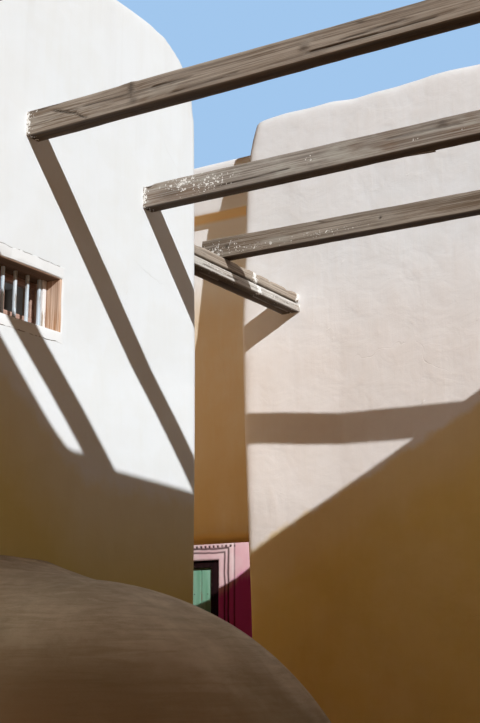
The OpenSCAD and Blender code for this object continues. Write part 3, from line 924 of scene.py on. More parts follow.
def rows_of(items: bpy.types.bpy_prop_collection, name: str) -> np.ndarray:
    """Returns three numbers of each item of a mesh, one row each."""
    flat = np.empty(len(items) * 3, np.float32)
    items.foreach_get(name, flat)
    return flat.reshape(-1, 3).astype(float)


def flat_points(u: np.ndarray, v: np.ndarray) -> np.ndarray:
    """Returns points of a plane, one row each."""
    return np.stack([u, v, u * 0], axis=-1).reshape(-1, 3)


def share(values: np.ndarray, start: float, run: float) -> np.ndarray:
    """Returns how far values lie along a run, from 0 at its start to 1 at its end."""
    return np.clip((values - start) / run, 0.0, 1.0)


def linked(name: str, data: bpy.types.ID) -> bpy.types.Object:
    """Returns a new object that is in the scene."""
    made = bpy.data.objects.new(name, data)
    bpy.context.scene.collection.objects.link(made)
    return made


def triangle_count(mesh: bpy.types.Mesh) -> int:
    """Returns how many triangles a mesh has."""
    return sum(len(p.vertices) - 2 for p in mesh.polygons)


def move_points(mesh: bpy.types.Mesh, points: np.ndarray) -> None:
    """Puts a mesh's points in new places."""
    mesh.vertices.foreach_set("co", points.astype(np.float32).ravel())
    mesh.update()


def modified(mesh: bpy.types.Mesh, kind: str, **settings: object) -> bpy.types.Mesh:
    """Runs one modifier on a mesh.

    Args:
        mesh: The mesh to change, which is used up.
        kind: The modifier's type.
        settings: The modifier's properties.

    Returns:
        The new mesh.
    """
    holder = linked("holder", mesh)
    modifier = holder.modifiers.new(kind, kind)
    for name, value in settings.items():
        setattr(modifier, name, value)
    graph = bpy.context.evaluated_depsgraph_get()
    result = bpy.data.meshes.new_from_object(holder.evaluated_get(graph))
    bpy.data.objects.remove(holder)
    bpy.data.meshes.remove(mesh)
    return result


def show(
    name: str, mesh: bpy.types.Mesh, finish: Finish, body: str = HOUSE, replaced: Sequence[str] = (),
    angle: float = 38.0,
) -> None:
    """Makes a mesh a piece of the house.

    Args:
        name: The piece's name.
        mesh: Its mesh, in the part's frame.
        finish: Its finish.
        body: The body that it rides on.
        replaced: The CAD nodes that it stands for.
        angle: The angle in degrees above which an edge stays sharp.
    """
    mesh.name = name
    mesh.shade_smooth()
    mesh.set_sharp_from_angle(angle=math.radians(angle))
    mesh.materials.clear()
    mesh.materials.append(finish.material())
    piece = linked(name, mesh)
    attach(piece, body)
    if replaced:
        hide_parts(*replaced)
    LOG.info("%s: %d triangles, %s", name, triangle_count(mesh), finish.label)


@dataclass
class Shape:
    """Points and faces with the marks that its points carry.

    Attributes:
        points: One row per point.
        faces: Point numbers of each face.
        marks: Dark, lime and wear marks, one row per point.
    """

    points: np.ndarray
    faces: list[tuple[int, ...]]
    marks: np.ndarray

    @staticmethod
    def joined(shapes: Sequence["Shape"]) -> "Shape":
        """Returns several shapes as one."""
        faces, base = [], 0
        for shape in shapes:
            faces += [tuple(i + base for i in face) for face in shape.faces]
            base += len(shape.points)
        points = np.concatenate([shape.points for shape in shapes])
        marks = np.concatenate([shape.marks for shape in shapes])
        return Shape(points, faces, marks)

    def mesh(self, name: str) -> bpy.types.Mesh:
        """Returns the shape as a mesh with its marks as point attributes."""
        mesh = bpy.data.meshes.new(name)
        mesh.from_pydata([tuple(p) for p in self.points], [], self.faces)
        build = bmesh.new()
        build.from_mesh(mesh)
        bmesh.ops.recalc_face_normals(build, faces=build.faces[:])
        build.to_mesh(mesh)
        build.free()
        for column, label in enumerate(("dark", "lime", "wear")):
            layer = mesh.attributes.new(label, "FLOAT", "POINT")
            layer.data.foreach_set("value", np.ascontiguousarray(self.marks[:, column], dtype=np.float32))
        mesh.update()
        return mesh


def lofted(rings: np.ndarray, marks: np.ndarray | None = None, closed: bool = False) -> Shape:
    """Skins a row of rings, with a flat cap at each end unless it closes on itself.

    Args:
        rings: Rings, points and coordinates.
        marks: Dark, lime and wear marks of the ring points.
        closed: Whether the last ring joins the first.

    Returns:
        The shape.
    """
    count, around, _ = rings.shape
    faces = []
    for i in range(count if closed else count - 1):
        a, b = i * around, ((i + 1) % count) * around
        for j in range(around):
            k = (j + 1) % around
            faces.append((a + j, a + k, b + k, b + j))
    if not closed:
        faces.append(tuple(range(around - 1, -1, -1)))
        faces.append(tuple((count - 1) * around + j for j in range(around)))
    if marks is None:
        marks = np.zeros((count, around, 3))
    return Shape(rings.reshape(-1, 3), faces, marks.reshape(-1, 3))


@dataclass(frozen=True)
class Check:
    """A crack along a timber.

    Attributes:
        path: Points that the crack follows, in the part's frame.
        width: Half its width.
        depth: Its depth.
        dark: How dark it is.
    """

    path: tuple[Point, ...]
    width: float = 0.005
    depth: float = 0.008
    dark: float = 0.9


@dataclass(frozen=True)
class Spot:
    """A knot, chip, hole or splash on a timber.

    Attributes:
        place: Its middle, in the part's frame.
        along: Half its length along the timber.
        across: Half its width.
        dark: How dark it is.
        lime: How much whitewash is on it.
        depth: How deep it is sunk.
    """

    place: Point
    along: float = 0.03
    across: float = 0.03
    dark: float = 0.0
    lime: float = 0.0
    depth: float = 0.0


@dataclass
class HewnBar:
    """A length of hewn timber with worn arrises, checks and spots.

    Attributes:
        start: Middle of one end.
        end: Middle of the other end.
        width: Size across, level with the ground when up is upright.
        height: Size along up.
        up: The direction of the height.
        arris: Radius of the worn arrises.
        step: Distance between its rings.
        pitch: Distance between the points of a ring.
        wobble: How far the faces wander.
        wave: Size of the wander.
        bow: How far the middle sags.
        taper: Share of the height that is missing at its start.
        ragged: How rough the end faces are.
        checks: Its cracks.
        spots: Its knots, chips, holes and splashes.
        seed: Seed of its wander.
    """

    start: Point
    end: Point
    width: float
    height: float
    up: Point = (0.0, 0.0, 1.0)
    arris: float = 0.006
    step: float = 0.05
    pitch: float = 0.02
    wobble: float = 0.001
    wave: float = 0.12
    bow: float = 0.0
    taper: float = 0.0
    ragged: float = 0.0
    checks: tuple[Check, ...] = ()
    spots: tuple[Spot, ...] = ()
    seed: int = 1

    def section(self) -> tuple[np.ndarray, np.ndarray, np.ndarray]:
        """Returns the points, outward normals and arris marks of one ring."""
        half = np.array([self.width / 2, self.height / 2])
        radius = min(self.arris, 0.48 * min(self.width, self.height))
        steps = 3 if radius > 0.003 else 2
        points, normals, marks = [], [], []
        corners = ((1, 1, 0), (-1, 1, 90), (-1, -1, 180), (1, -1, 270))
        for number, (sx, sy, turn) in enumerate(corners):
            middle = (half - radius) * (sx, sy)
            for k in range(steps + 1):
                angle = math.radians(turn + 90 * k / steps)
                normal = np.array([math.cos(angle), math.sin(angle)])
                points.append(middle + radius * normal)
                normals.append(normal)
                marks.append(1.0)
            following = corners[(number + 1) % 4]
            target = (half - radius) * following[:2] + radius * normals[-1]
            flat = np.linalg.norm(target - points[-1])
            pieces = max(1, round(flat / self.pitch))
            first = points[-1]
            for k in range(1, pieces):
                points.append(first + (target - first) * k / pieces)
                normals.append(normals[-1])
                near = min(k, pieces - k) * flat / pieces
                marks.append(math.exp(-near / 0.008))
        return np.array(points), np.array(normals), np.array(marks)

    def shape(self) -> Shape:
        """Returns the bar's shape with its marks."""
        start, end = np.array(self.start, float), np.array(self.end, float)
        length = float(np.linalg.norm(end - start))
        along = (end - start) / length
        side = np.cross(along, np.array(self.up, float))
        side /= np.linalg.norm(side)
        up = np.cross(side, along)
        section, normal, wear = self.section()
        arris = min(self.arris, 0.2 * length)
        count = max(2, round((length - 2 * arris) / self.step))
        inner = np.linspace(arris, length - arris, count + 1)
        stations = np.concatenate(([0.0, arris * 0.35], inner, [length - arris * 0.35, length]))
        inset = np.zeros(len(stations))
        inset[[0, -1]] = arris * 0.45
        inset[[1, -2]] = arris * 0.1
        s = stations[:, None] + np.zeros(len(section))
        u = section[None, :, 0] - inset[:, None] * normal[None, :, 0]
        v = section[None, :, 1] - inset[:, None] * normal[None, :, 1]
        noise = TrowelNoise(self.seed)
        local = np.stack([s * 0.3, u, v], axis=2).reshape(-1, 3) + self.seed * 7.7
        wander = noise.at(local, self.wave) + 0.4 * noise.at(local, self.wave / 5)
        push = self.wobble * wander.reshape(s.shape)
        marks = np.zeros((*s.shape, 3))
        marks[:, :, 2] = wear[None, :]
        reach = np.stack([s, u, v], axis=2)
        frame3 = np.stack([along, side, up], axis=1)
        for check in self.checks:
            path = (np.array(check.path) - start) @ frame3
            path = path[np.argsort(path[:, 0])]
            mid_u = np.interp(s, path[:, 0], path[:, 1])
            mid_v = np.interp(s, path[:, 0], path[:, 2])
            away = np.hypot(u - mid_u, v - mid_v) / check.width
            fade = np.clip(np.minimum(s - path[0, 0], path[-1, 0] - s) / 0.03 + 0.3, 0.0, 1.0)
            mask = np.exp(-(away**2)) * fade
            push -= check.depth * mask
            marks[:, :, 0] = np.maximum(marks[:, :, 0], check.dark * np.clip(mask * 1.3, 0, 1))
        for spot in self.spots:
            middle = (np.array(spot.place) - start) @ frame3
            gap = (reach - middle) / np.array([spot.along, spot.across, spot.across])
            mask = np.exp(-np.sum(gap**2, axis=2) ** 1.5)
            push -= spot.depth * mask
            marks[:, :, 0] = np.maximum(marks[:, :, 0], spot.dark * mask)
            marks[:, :, 1] = np.maximum(marks[:, :, 1], spot.lime * mask)
        u = u + push * normal[None, :, 0]
        v = v + push * normal[None, :, 1] - self.bow * np.sin(np.pi * s / length)
        v = v - (v + self.height / 2) * self.taper * (1.0 - s / length)
        if self.ragged:
            rough = noise.at(flat_points(u, v) + 3.3, 0.02).reshape(s.shape)
            edge = np.exp(-np.minimum(s, length - s) / 0.02)
            s = s + self.ragged * rough * edge
        rings = start + s[..., None] * along + u[..., None] * side + v[..., None] * up
        return lofted(rings, marks)


def bars_piece(
    name: str, bars: Sequence[HewnBar], finish: Finish, body: str = HOUSE, replaced: Sequence[str] = ()
) -> None:
    """Makes one piece of several bars, as show makes it of a mesh."""
    shape = Shape.joined([bar.shape() for bar in bars])
    show(name, shape.mesh(name), finish, body, replaced)


@dataclass(frozen=True)
class WallPlace:
    """A place on a wall, with X along the face, Y into the wall and Z up.

    Attributes:
        origin: The place in the part's frame.
        turn: The turn about Z in degrees.
    """

    origin: Point
    turn: float = 0.0

    def at(self, x: float, y: float, z: float) -> Point:
        """Returns a point of this place in the part's frame."""
        return tuple(a + b for a, b in zip(self.origin, self.way(x, y, z)))

    def way(self, x: float, y: float, z: float) -> Point:
        """Returns a direction of this place in the part's frame."""
        a = math.radians(self.turn)
        return (x * math.cos(a) - y * math.sin(a), x * math.sin(a) + y * math.cos(a), z)

    def post(
        self, x: float, y: float, low: float, high: float, width: float, height: float, **wear: float
    ) -> HewnBar:
        """Returns an upright bar, whose height lies along the face."""
        return HewnBar(self.at(x, y, low), self.at(x, y, high), width, height, up=self.way(1, 0, 0), **wear)

    def rail(
        self, left: float, right: float, y: float, z: float, width: float, height: float, **wear: float
    ) -> HewnBar:
        """Returns a level bar along the face."""
        return HewnBar(self.at(left, y, z), self.at(right, y, z), width, height, **wear)


@dataclass
class WindowOpening:
    """The hole that a window leaves in the plaster, with a rounded edge and a sloping sill.

    Attributes:
        place: Lower left corner of the clear opening on the face.
        width: Clear width.
        height: Clear height.
        margin: How far the plaster stays clear of the timber's face.
        edge: Radius of the plaster's edge.
        sill_rise: How far the sill rises from the face to the bars.
        wall: Thickness of the wall.
        seed: Seed of the uneven edge.
    """

    place: WallPlace
    width: float = 0.8
    height: float = 0.295
    margin: float = 0.005
    edge: float = 0.009
    sill_rise: float = 0.042
    wall: float = 0.45
    seed: int = 5

    def cutter(self) -> Shape:
        """Returns the solid to cut away."""
        rows = [(-0.06, self.edge * 3.0)]
        for k in range(5):
            angle = math.radians(90 * k / 4)
            rows.append((self.edge * (1 - math.cos(angle)) - 0.0005, self.edge * (1 - math.sin(angle))))
        rows += [(0.05, 0.0), (0.105, 0.0), (0.13, 0.0), (self.wall + 0.08, 0.0)]
        noise = TrowelNoise(self.seed)
        rings = []
        for depth, out in rows:
            rise = self.sill_rise * min(max(depth / 0.11, 0.0), 1.0)
            x0, x1 = -self.margin - out, self.width + self.margin + 0.01 + out
            z0, z1 = rise - 0.012 - out, self.height + self.margin + out
            ring = [(x0 + (x1 - x0) * k / 24, z0) for k in range(24)]
            ring += [(x1, z0 + (z1 - z0) * k / 10) for k in range(10)]
            ring += [(x1 - (x1 - x0) * k / 24, z1) for k in range(24)]
            ring += [(x0, z1 - (z1 - z0) * k / 10) for k in range(10)]
            flat = np.array([(x, 0.3, z) for x, z in ring])
            shift_x = 0.0025 * noise.at(flat, 0.09)
            shift_z = 0.0025 * noise.at(flat + 5.0, 0.09)
            rings.append([self.place.at(x + shift_x[i], depth, z + shift_z[i]) for i, (x, z) in enumerate(ring)])
        return lofted(np.array(rings))


@dataclass
class PlasterSkin:
    """Plaster over adobe walls, worn round at the edges and uneven as hands leave it.

    Attributes:
        name: The piece's name.
        nodes: The CAD nodes that it stands for.
        finish: Its finish.
        plugs: Boxes that close what timber or other pieces fill.
        seams: Axis, plane and shift of faces that reach into a neighbour.
        openings: Window openings to cut.
        voxel: Size of the grid that the skin is made on.
        rounds: How often it is smoothed.
        triangles: How many triangles it keeps.
        relief: How far the face wanders.
        seed: Seed of its wander.
        sculpt: Extra moves for its points.
    """

    name: str
    nodes: tuple[str, ...]
    finish: Finish
    plugs: tuple[Box, ...] = ()
    seams: tuple[tuple[int, float, float], ...] = ()
    openings: tuple[WindowOpening, ...] = ()
    voxel: float = 0.03
    rounds: int = 3
    triangles: int = 100_000
    relief: float = 0.007
    seed: int = 1
    sculpt: Callable[[np.ndarray], np.ndarray] | None = None

    def source(self) -> bpy.types.Mesh:
        """Returns the CAD walls and the plugs as one rough mesh."""
        build = bmesh.new()
        for node in self.nodes:
            build.from_mesh(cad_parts[node].data)
        build.verts.ensure_lookup_table()
        for axis, plane, shift in self.seams:
            for vert in build.verts:
                if abs(vert.co[axis] - plane) < 0.002:
                    vert.co[axis] += shift
        for low, high in self.plugs:
            made = bmesh.ops.create_cube(build, size=1.0)["verts"]
            for vert in made:
                for axis in range(3):
                    vert.co[axis] = low[axis] if vert.co[axis] < 0 else high[axis]
        mesh = bpy.data.meshes.new(self.name)
        build.to_mesh(mesh)
        build.free()
        return mesh

    def relaxed(self, points: np.ndarray, edges: np.ndarray) -> np.ndarray:
        """Returns the points after smoothing along the edges."""
        count = len(points)
        a, b = edges[:, 0], edges[:, 1]
        degree = np.bincount(a, minlength=count) + np.bincount(b, minlength=count)
        for _ in range(self.rounds):
            for axis in range(3):
                values = points[:, axis]
                total = np.bincount(a, values[b], count) + np.bincount(b, values[a], count)
                points[:, axis] = 0.35 * values + 0.65 * total / degree
        return points

    def build(self) -> None:
        """Makes the skin."""
        mesh = modified(self.source(), "REMESH", mode="VOXEL", voxel_size=self.voxel, adaptivity=0.0)
        edges = np.empty(len(mesh.edges) * 2, np.int32)
        mesh.edges.foreach_get("vertices", edges)
        move_points(mesh, self.relaxed(rows_of(mesh.vertices, "co"), edges.reshape(-1, 2)))
        points, normals = rows_of(mesh.vertices, "co"), rows_of(mesh.vertex_normals, "vector")
        noise = TrowelNoise(self.seed)
        wander = 0.55 * noise.at(points, 1.3) + 0.35 * noise.at(points + 40.0, 0.5) + 0.14 * noise.at(points, 0.17)
        points = points + normals * (self.relief * wander)[:, None]
        if self.sculpt:
            points = self.sculpt(points)
        grounded = rows_of(mesh.vertices, "co")[:, 2] < 0.004
        points[:, 2] = np.where(grounded, 0.0, np.maximum(points[:, 2], 0.0))
        move_points(mesh, points)
        mesh = modified(mesh, "DECIMATE", ratio=min(1.0, self.triangles / triangle_count(mesh)))
        for opening in self.openings:
            cutter = linked("cutter", opening.cutter().mesh("cutter"))
            mesh = modified(mesh, "BOOLEAN", object=cutter, operation="DIFFERENCE", solver="MANIFOLD")
            bpy.data.objects.remove(cutter)
        show(self.name, mesh, self.finish, replaced=self.nodes, angle=50.0)


def clipped(box: Box, low: Point, high: Point) -> Box:
    """Returns the part of a box between two corners."""
    return tuple(max(a, b) for a, b in zip(box[0], low)), tuple(min(a, b) for a, b in zip(box[1], high))


def node_box(node: str, grow: float = 0.0) -> Box:
    """Returns a CAD node's box, grown on all sides."""
    low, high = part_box(node)
    return tuple(v - grow for v in low), tuple(v + grow for v in high)


@dataclass
class BarredWindow:
    """A small window with a timber lining, upright bars and a casement behind them.

    Attributes:
        label: Name of the wall that it is in.
        place: Lower left corner of its clear opening on the face.
        width: Clear width.
        height: Clear height.
        board: Thickness of the lining.
        front: Depth of the lining's front edge.
        back: Depth of the lining's back edge.
        bar: Side of a bar.
        pitch: Distance between two bars.
        bar_depth: Depth of the bars' middle.
        seed: Seed of its wear.
    """

    label: str
    place: WallPlace
    width: float = 0.8
    height: float = 0.295
    board: float = 0.045
    front: float = 0.007
    back: float = 0.28
    bar: float = 0.0165
    pitch: float = 0.1
    bar_depth: float = 0.113
    seed: int = 11

    def lining(self) -> list[HewnBar]:
        """Returns the two jamb boards."""
        middle, deep = (self.front + self.back) / 2, self.back - self.front
        wear = {"arris": 0.003, "step": 0.02, "pitch": 0.012, "wobble": 0.0022, "wave": 0.07}
        return [
            self.place.post(x, middle, -0.03, self.height + 0.002, deep, self.board, seed=self.seed + number, **wear)
            for number, x in enumerate((-self.board / 2, self.width + self.board / 2))
        ]

    def head(self) -> HewnBar:
        """Returns the lintel board."""
        middle, deep = (self.front + self.back) / 2, self.back - self.front
        return self.place.rail(
            -self.board, self.width + self.board, middle, self.height + self.board / 2, deep, self.board,
            arris=0.003, step=0.03, pitch=0.014, wobble=0.002, wave=0.08, seed=self.seed + 2,
        )

    def casement(self) -> list[HewnBar]:
        """Returns the rails and stiles of the casement behind the bars."""
        depth, wear = 0.2, {"arris": 0.003, "wobble": 0.001}
        rails = [
            self.place.rail(0.0, self.width, depth, z, 0.035, high, seed=self.seed + 5, **wear)
            for z, high in ((0.062, 0.05), (self.height - 0.02, 0.04))
        ]
        stiles = [
            self.place.post(x, depth + 0.002, 0.04, self.height - 0.002, 0.03, 0.036, seed=self.seed + 6, **wear)
            for x in (0.02, 0.27, 0.53, self.width - 0.02)
        ]
        return rails + stiles

    def upright(self, x: float, side: float, seed: int, **wear: float) -> HewnBar:
        """Returns a square bar from the sill to the head."""
        low, high = 0.012, self.height + 0.004
        return self.place.post(x, self.bar_depth, low, high, side, side, step=0.02, seed=self.seed + seed, **wear)

    def bars(self) -> list[HewnBar]:
        """Returns the upright bars, laid out from the right jamb."""
        made, x = [], self.width - 0.054
        while x > 0.02:
            made.append(self.upright(x, self.bar, 10 + len(made), arris=0.0025, pitch=0.008, wobble=0.0003, wave=0.05))
            x -= self.pitch
        return made

    def posts(self) -> list[HewnBar]:
        """Returns the pale posts beside the jambs."""
        side = 0.03
        return [
            self.upright(x, side, 30, arris=0.003, pitch=0.01, wobble=0.0008, wave=0.06)
            for x in (side / 2 + 0.002, self.width - side / 2 - 0.008)
        ]

    def opening(self) -> WindowOpening:
        """Returns the hole that the window needs in the plaster."""
        return WindowOpening(self.place, self.width, self.height, seed=self.seed)

    def plug(self) -> Box:
        """Returns the box that closes the CAD recess before the hole is cut."""
        around = 0.06
        a = self.place.at(-around, 0.0, -0.05)
        b = self.place.at(self.width + around, WindowOpening.wall, self.height + around)
        return tuple(min(p, q) for p, q in zip(a, b)), tuple(max(p, q) for p, q in zip(a, b))


class Windows:
    """The barred windows of both wings."""

    def __init__(self) -> None:
        """Places the four windows."""
        x, _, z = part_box("front_window_lining")[0]
        front = WallPlace((x + 0.045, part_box("left_front_wall")[0].y, z))
        self.front = BarredWindow("front", front, seed=11)
        self.end = BarredWindow("end", WallPlace((-5.7, 2.325, z), -90.0), seed=51)
        self.yard = BarredWindow("yard", WallPlace((1.5775, -4.275, z)), seed=91)
        self.right = BarredWindow("right", WallPlace((3.55, -2.445, z), 90.0), seed=131)

    def build(self) -> None:
        """Makes the linings, bars, posts and casements."""
        sides = (self.end, self.yard, self.right)
        bars_piece("front_window_jambs", self.front.lining(), Palette.JAMB, replaced=("front_window_lining",))
        bars_piece("front_window_head", [self.front.head()], Palette.LINING)
        jambs = [bar for window in sides for bar in window.lining()]
        bars_piece("side_window_jambs", jambs, Palette.JAMB, replaced=("side_window_linings",))
        bars_piece("side_window_heads", [window.head() for window in sides], Palette.LINING)
        for window in (self.front, *sides):
            bars_piece(f"{window.label}_window_bars", window.bars(), Palette.BAR)
            bars_piece(f"{window.label}_window_posts", window.posts(), Palette.POST)
            bars_piece(f"{window.label}_window_casement", window.casement(), Palette.CASEMENT)


@dataclass
class Walls:
    """All plastered walls.

    Attributes:
        windows: The windows that pierce them.
        beams: The names of the yard beams.
        front: The planes along Y of the front wall's faces.
        yard: The planes along Y of the yard wall's faces.
        passage: The planes along X of the passage's faces.
    """

    windows: Windows
    beams: tuple[str, ...] = ("pergola_beam_1", "pergola_beam_2", "pergola_beam_3", "pergola_beam_4")
    front: tuple[float, float] = (-0.425, 0.03)
    yard: tuple[float, float] = (-4.275, -3.825)
    passage: tuple[float, float] = (-1.165, 0.405)

    def left_shape(self, points: np.ndarray) -> np.ndarray:
        """Lets the passage corner of the left wing lean and belly as the photo shows."""
        x, _, z = points.T
        lean = np.interp(z, (0.0, 1.5, 2.2, 3.0, 3.8, 5.2, 5.6), (0.004, 0.009, 0.014, 0.016, -0.004, -0.03, -0.035))
        near = share(x, -2.0, 0.8) ** 2
        points[:, 0] += lean * near
        belly = np.interp(z, (0.0, 2.7, 2.85, 2.95, 3.05, 3.15, 3.25), (0.033, 0.033, 0.028, 0.022, 0.014, 0.007, 0.0))
        points[:, 1] -= belly * share(-points[:, 1], 0.28, 0.12)
        points[:, 0] -= 1.45 * belly * near * share(-points[:, 1], 0.0, 0.3)
        return points

    def right_shape(self, points: np.ndarray) -> np.ndarray:
        """Lets the court corner of the right wing lean, and its coping undulate."""
        z = points[:, 2]
        levels = (0.0, 1.7, 2.3, 2.9, 3.5, 4.1, 5.2, 5.5, 5.62, 5.74, 5.8)
        lean = np.interp(z, levels, (-0.09, -0.058, -0.034, -0.01, 0.009, 0.018, -0.02, -0.06, -0.086, -0.12, -0.17))
        points[:, 1] += lean * share(points[:, 1], -0.9, 1.0) ** 2
        swell = share(points[:, 1], -0.65, 0.75) * np.interp(z, (2.2, 2.7, 3.8, 4.6), (0.0, 1.0, 1.0, 0.0))
        swell *= share(-points[:, 0], -0.7, 0.2)
        points[:, 0] -= 0.05 * swell
        points[:, 1] -= 0.031 * swell
        noise = TrowelNoise(77)
        flat = points * (1.0, 1.0, 0.0)
        rise = 0.022 * noise.at(flat, 0.55) + 0.01 * noise.at(flat, 0.2)
        along = (-2.3, -1.84, -1.45, -1.2, -0.96, -0.7, -0.26, 0.0)
        rise += np.interp(points[:, 1], along, (0.01, 0.02, 0.034, 0.02, 0.006, 0.0, -0.007, -0.014))
        points[:, 2] += rise * share(z, 5.3, 0.4)
        return points

    def portal_shape(self, points: np.ndarray) -> np.ndarray:
        """Lets the portal's face fall back below its head where it meets the right wing."""
        points = self.coping_shape(points)
        x, y, z = points.T
        levels = (3.2, 4.0, 4.6, 5.0, 5.12, 5.17, 5.4, 5.58)
        depth = np.interp(z, levels, (0.14, 0.12, 0.08, 0.06, 0.055, 0.065, 0.035, 0.0)) * share(-y, -1.9, 0.4)
        points[:, 0] += depth * share(-x, -1.1, 0.43)
        return points

    def coping_shape(self, points: np.ndarray) -> np.ndarray:
        """Lets a coping undulate."""
        noise = TrowelNoise(31)
        rise = 0.018 * noise.at(points * (1.0, 1.0, 0.0), 0.6)
        points[:, 2] += rise * share(points[:, 2], points[:, 2].max() - 0.4, 0.3)
        return points

    def yard_shape(self, points: np.ndarray) -> np.ndarray:
        """Lets the yard wall's top dip between its raised end and the passage."""
        noise = TrowelNoise(31)
        along = (-4.6, -4.28, -4.15, -4.0, -3.9, -3.0, -1.66, -0.9)
        rise = np.interp(points[:, 0], along, (0.045, 0.042, 0.064, 0.03, 0.0055, -0.034, 0.06, 0.035))
        rise = 0.012 * noise.at(points * (1.0, 1.0, 0.0), 0.6) + rise
        points[:, 2] += rise * share(points[:, 2], 3.6, 0.8)
        return points

    def build(self) -> None:
        """Makes the skins of the wings, the yard wall, the portal and the rear walls."""
        gap, far = 0.004, 9.0
        beams = [node_box(name, gap) for name in self.beams]
        cross = node_box("cross_beam", gap)
        in_front = [clipped(box, (-far, self.front[0], 0.0), (far, self.front[1], far)) for box in beams[:3]]
        in_yard = [clipped(box, (-far, self.yard[0], 0.0), (far, self.yard[1], far)) for box in beams]
        in_left = clipped(cross, (-far, -far, 0.0), (self.passage[0], far, far))
        in_right = clipped(cross, (self.passage[1], -far, 0.0), (far, far, far))
        w = self.windows
        skins = (
            PlasterSkin(
                "left_wing_plaster", ("left_front_wall", "left_passage_wall", "left_rear_wall", "left_end_wall"),
                Palette.LIME, plugs=(w.front.plug(), w.end.plug(), *in_front, in_left),
                openings=(w.front.opening(), w.end.opening()),
                triangles=130_000, relief=0.006, seed=3, sculpt=self.left_shape,
            ),
            PlasterSkin(
                "right_wing_plaster", ("right_passage_wall", "right_court_wall", "right_end_wall", "right_yard_wall"),
                Palette.CREAM, plugs=(w.yard.plug(), w.right.plug(), in_right),
                openings=(w.yard.opening(), w.right.opening()),
                triangles=130_000, relief=0.011, seed=4, sculpt=self.right_shape,
            ),
            PlasterSkin(
                "yard_wall_plaster", ("yard_wall",), Palette.YARD, plugs=tuple(in_yard),
                seams=((0, self.passage[1], 0.06),), triangles=60_000, relief=0.009, seed=5, sculpt=self.yard_shape,
            ),
            PlasterSkin(
                "portal_plaster", ("portal_pier", "portal_head", "portal_course"), Palette.PORTAL,
                triangles=80_000, relief=0.008, seed=6, sculpt=self.portal_shape,
            ),
            PlasterSkin(
                "painted_wall_plaster", ("door_wall_near", "door_wall_far", "door_wall_head"), Palette.PINK,
                seams=((1, 0.185, -0.06), (1, 3.825, 0.06)), voxel=0.025, rounds=2,
                triangles=60_000, relief=0.004, seed=7, sculpt=self.coping_shape,
            ),
            PlasterSkin(
                "room_plaster", ("rear_wall", "room_end_wall", "room_near_wall"), Palette.OCHRE,
                seams=((0, 1.1, -0.06),), triangles=90_000, relief=0.009, seed=8, sculpt=self.coping_shape,
            ),
        )
        for skin in skins:
            skin.build()


@dataclass
class Oven:
    """The domed oven against the left wing.

    Attributes:
        wall_y: The face of the wall that it leans on.
        centre: The dome's centre.
        radius: The dome's radius.
        cove: Radius of the plaster's edge on the wall.
        saddle_y: Where the crown starts to run up to the wall.
    """

    wall_y: float = -0.425
    centre: Point = (-2.927, -0.888, 0.398)
    radius: float = 1.506
    cove: float = 1.655
    saddle_y: float = -1.15

    def shape(self, points: np.ndarray) -> np.ndarray:
        """Makes the dome slightly uneven and lets its crown run up to the wall in one sweep."""
        x, y, z = points.T
        across = x - self.centre[0]

        def crown(at_y: np.ndarray | float) -> np.ndarray:
            """Returns the height of the dome along one line across it."""
            inside = self.radius**2 - across**2 - (at_y - self.centre[1]) ** 2
            return self.centre[2] + np.sqrt(np.maximum(inside, 0.0))

        ring = self.centre[2] + np.sqrt(np.maximum(self.cove**2 - across**2, 0.0))
        edge = np.interp(x, (-2.7, -2.6, -2.46, -2.2, -1.95, -1.8), (2.05, 2.045, 2.012, 1.965, 1.83, 0.0))
        wall = np.maximum(ring, edge)
        part = share(y, self.saddle_y, self.wall_y - self.saddle_y)
        target = crown(self.saddle_y) + (wall - crown(self.saddle_y)) * part**1.4
        outside = share(z - crown(y), -0.12, 0.06) * share(z, 1.1, 0.3) * (part > 0.0)
        points[:, 2] += np.maximum(target - z, 0.0) * outside
        swell = 0.012 * TrowelNoise(12).at(points, 0.8)
        points[:, 2] += swell * share(points[:, 2], 0.0, 0.5)
        return points

    def build(self) -> None:
        """Makes the plaster of the dome and its cove."""
        PlasterSkin(
            "oven_plaster", ("oven_dome", "oven_cove"), Palette.OVEN, seams=((1, self.wall_y, 0.05),),
            voxel=0.022, rounds=2, triangles=80_000, relief=0.008, seed=9, sculpt=self.shape,
        ).build()
        Palette.EARTH.dress("oven_hearth")


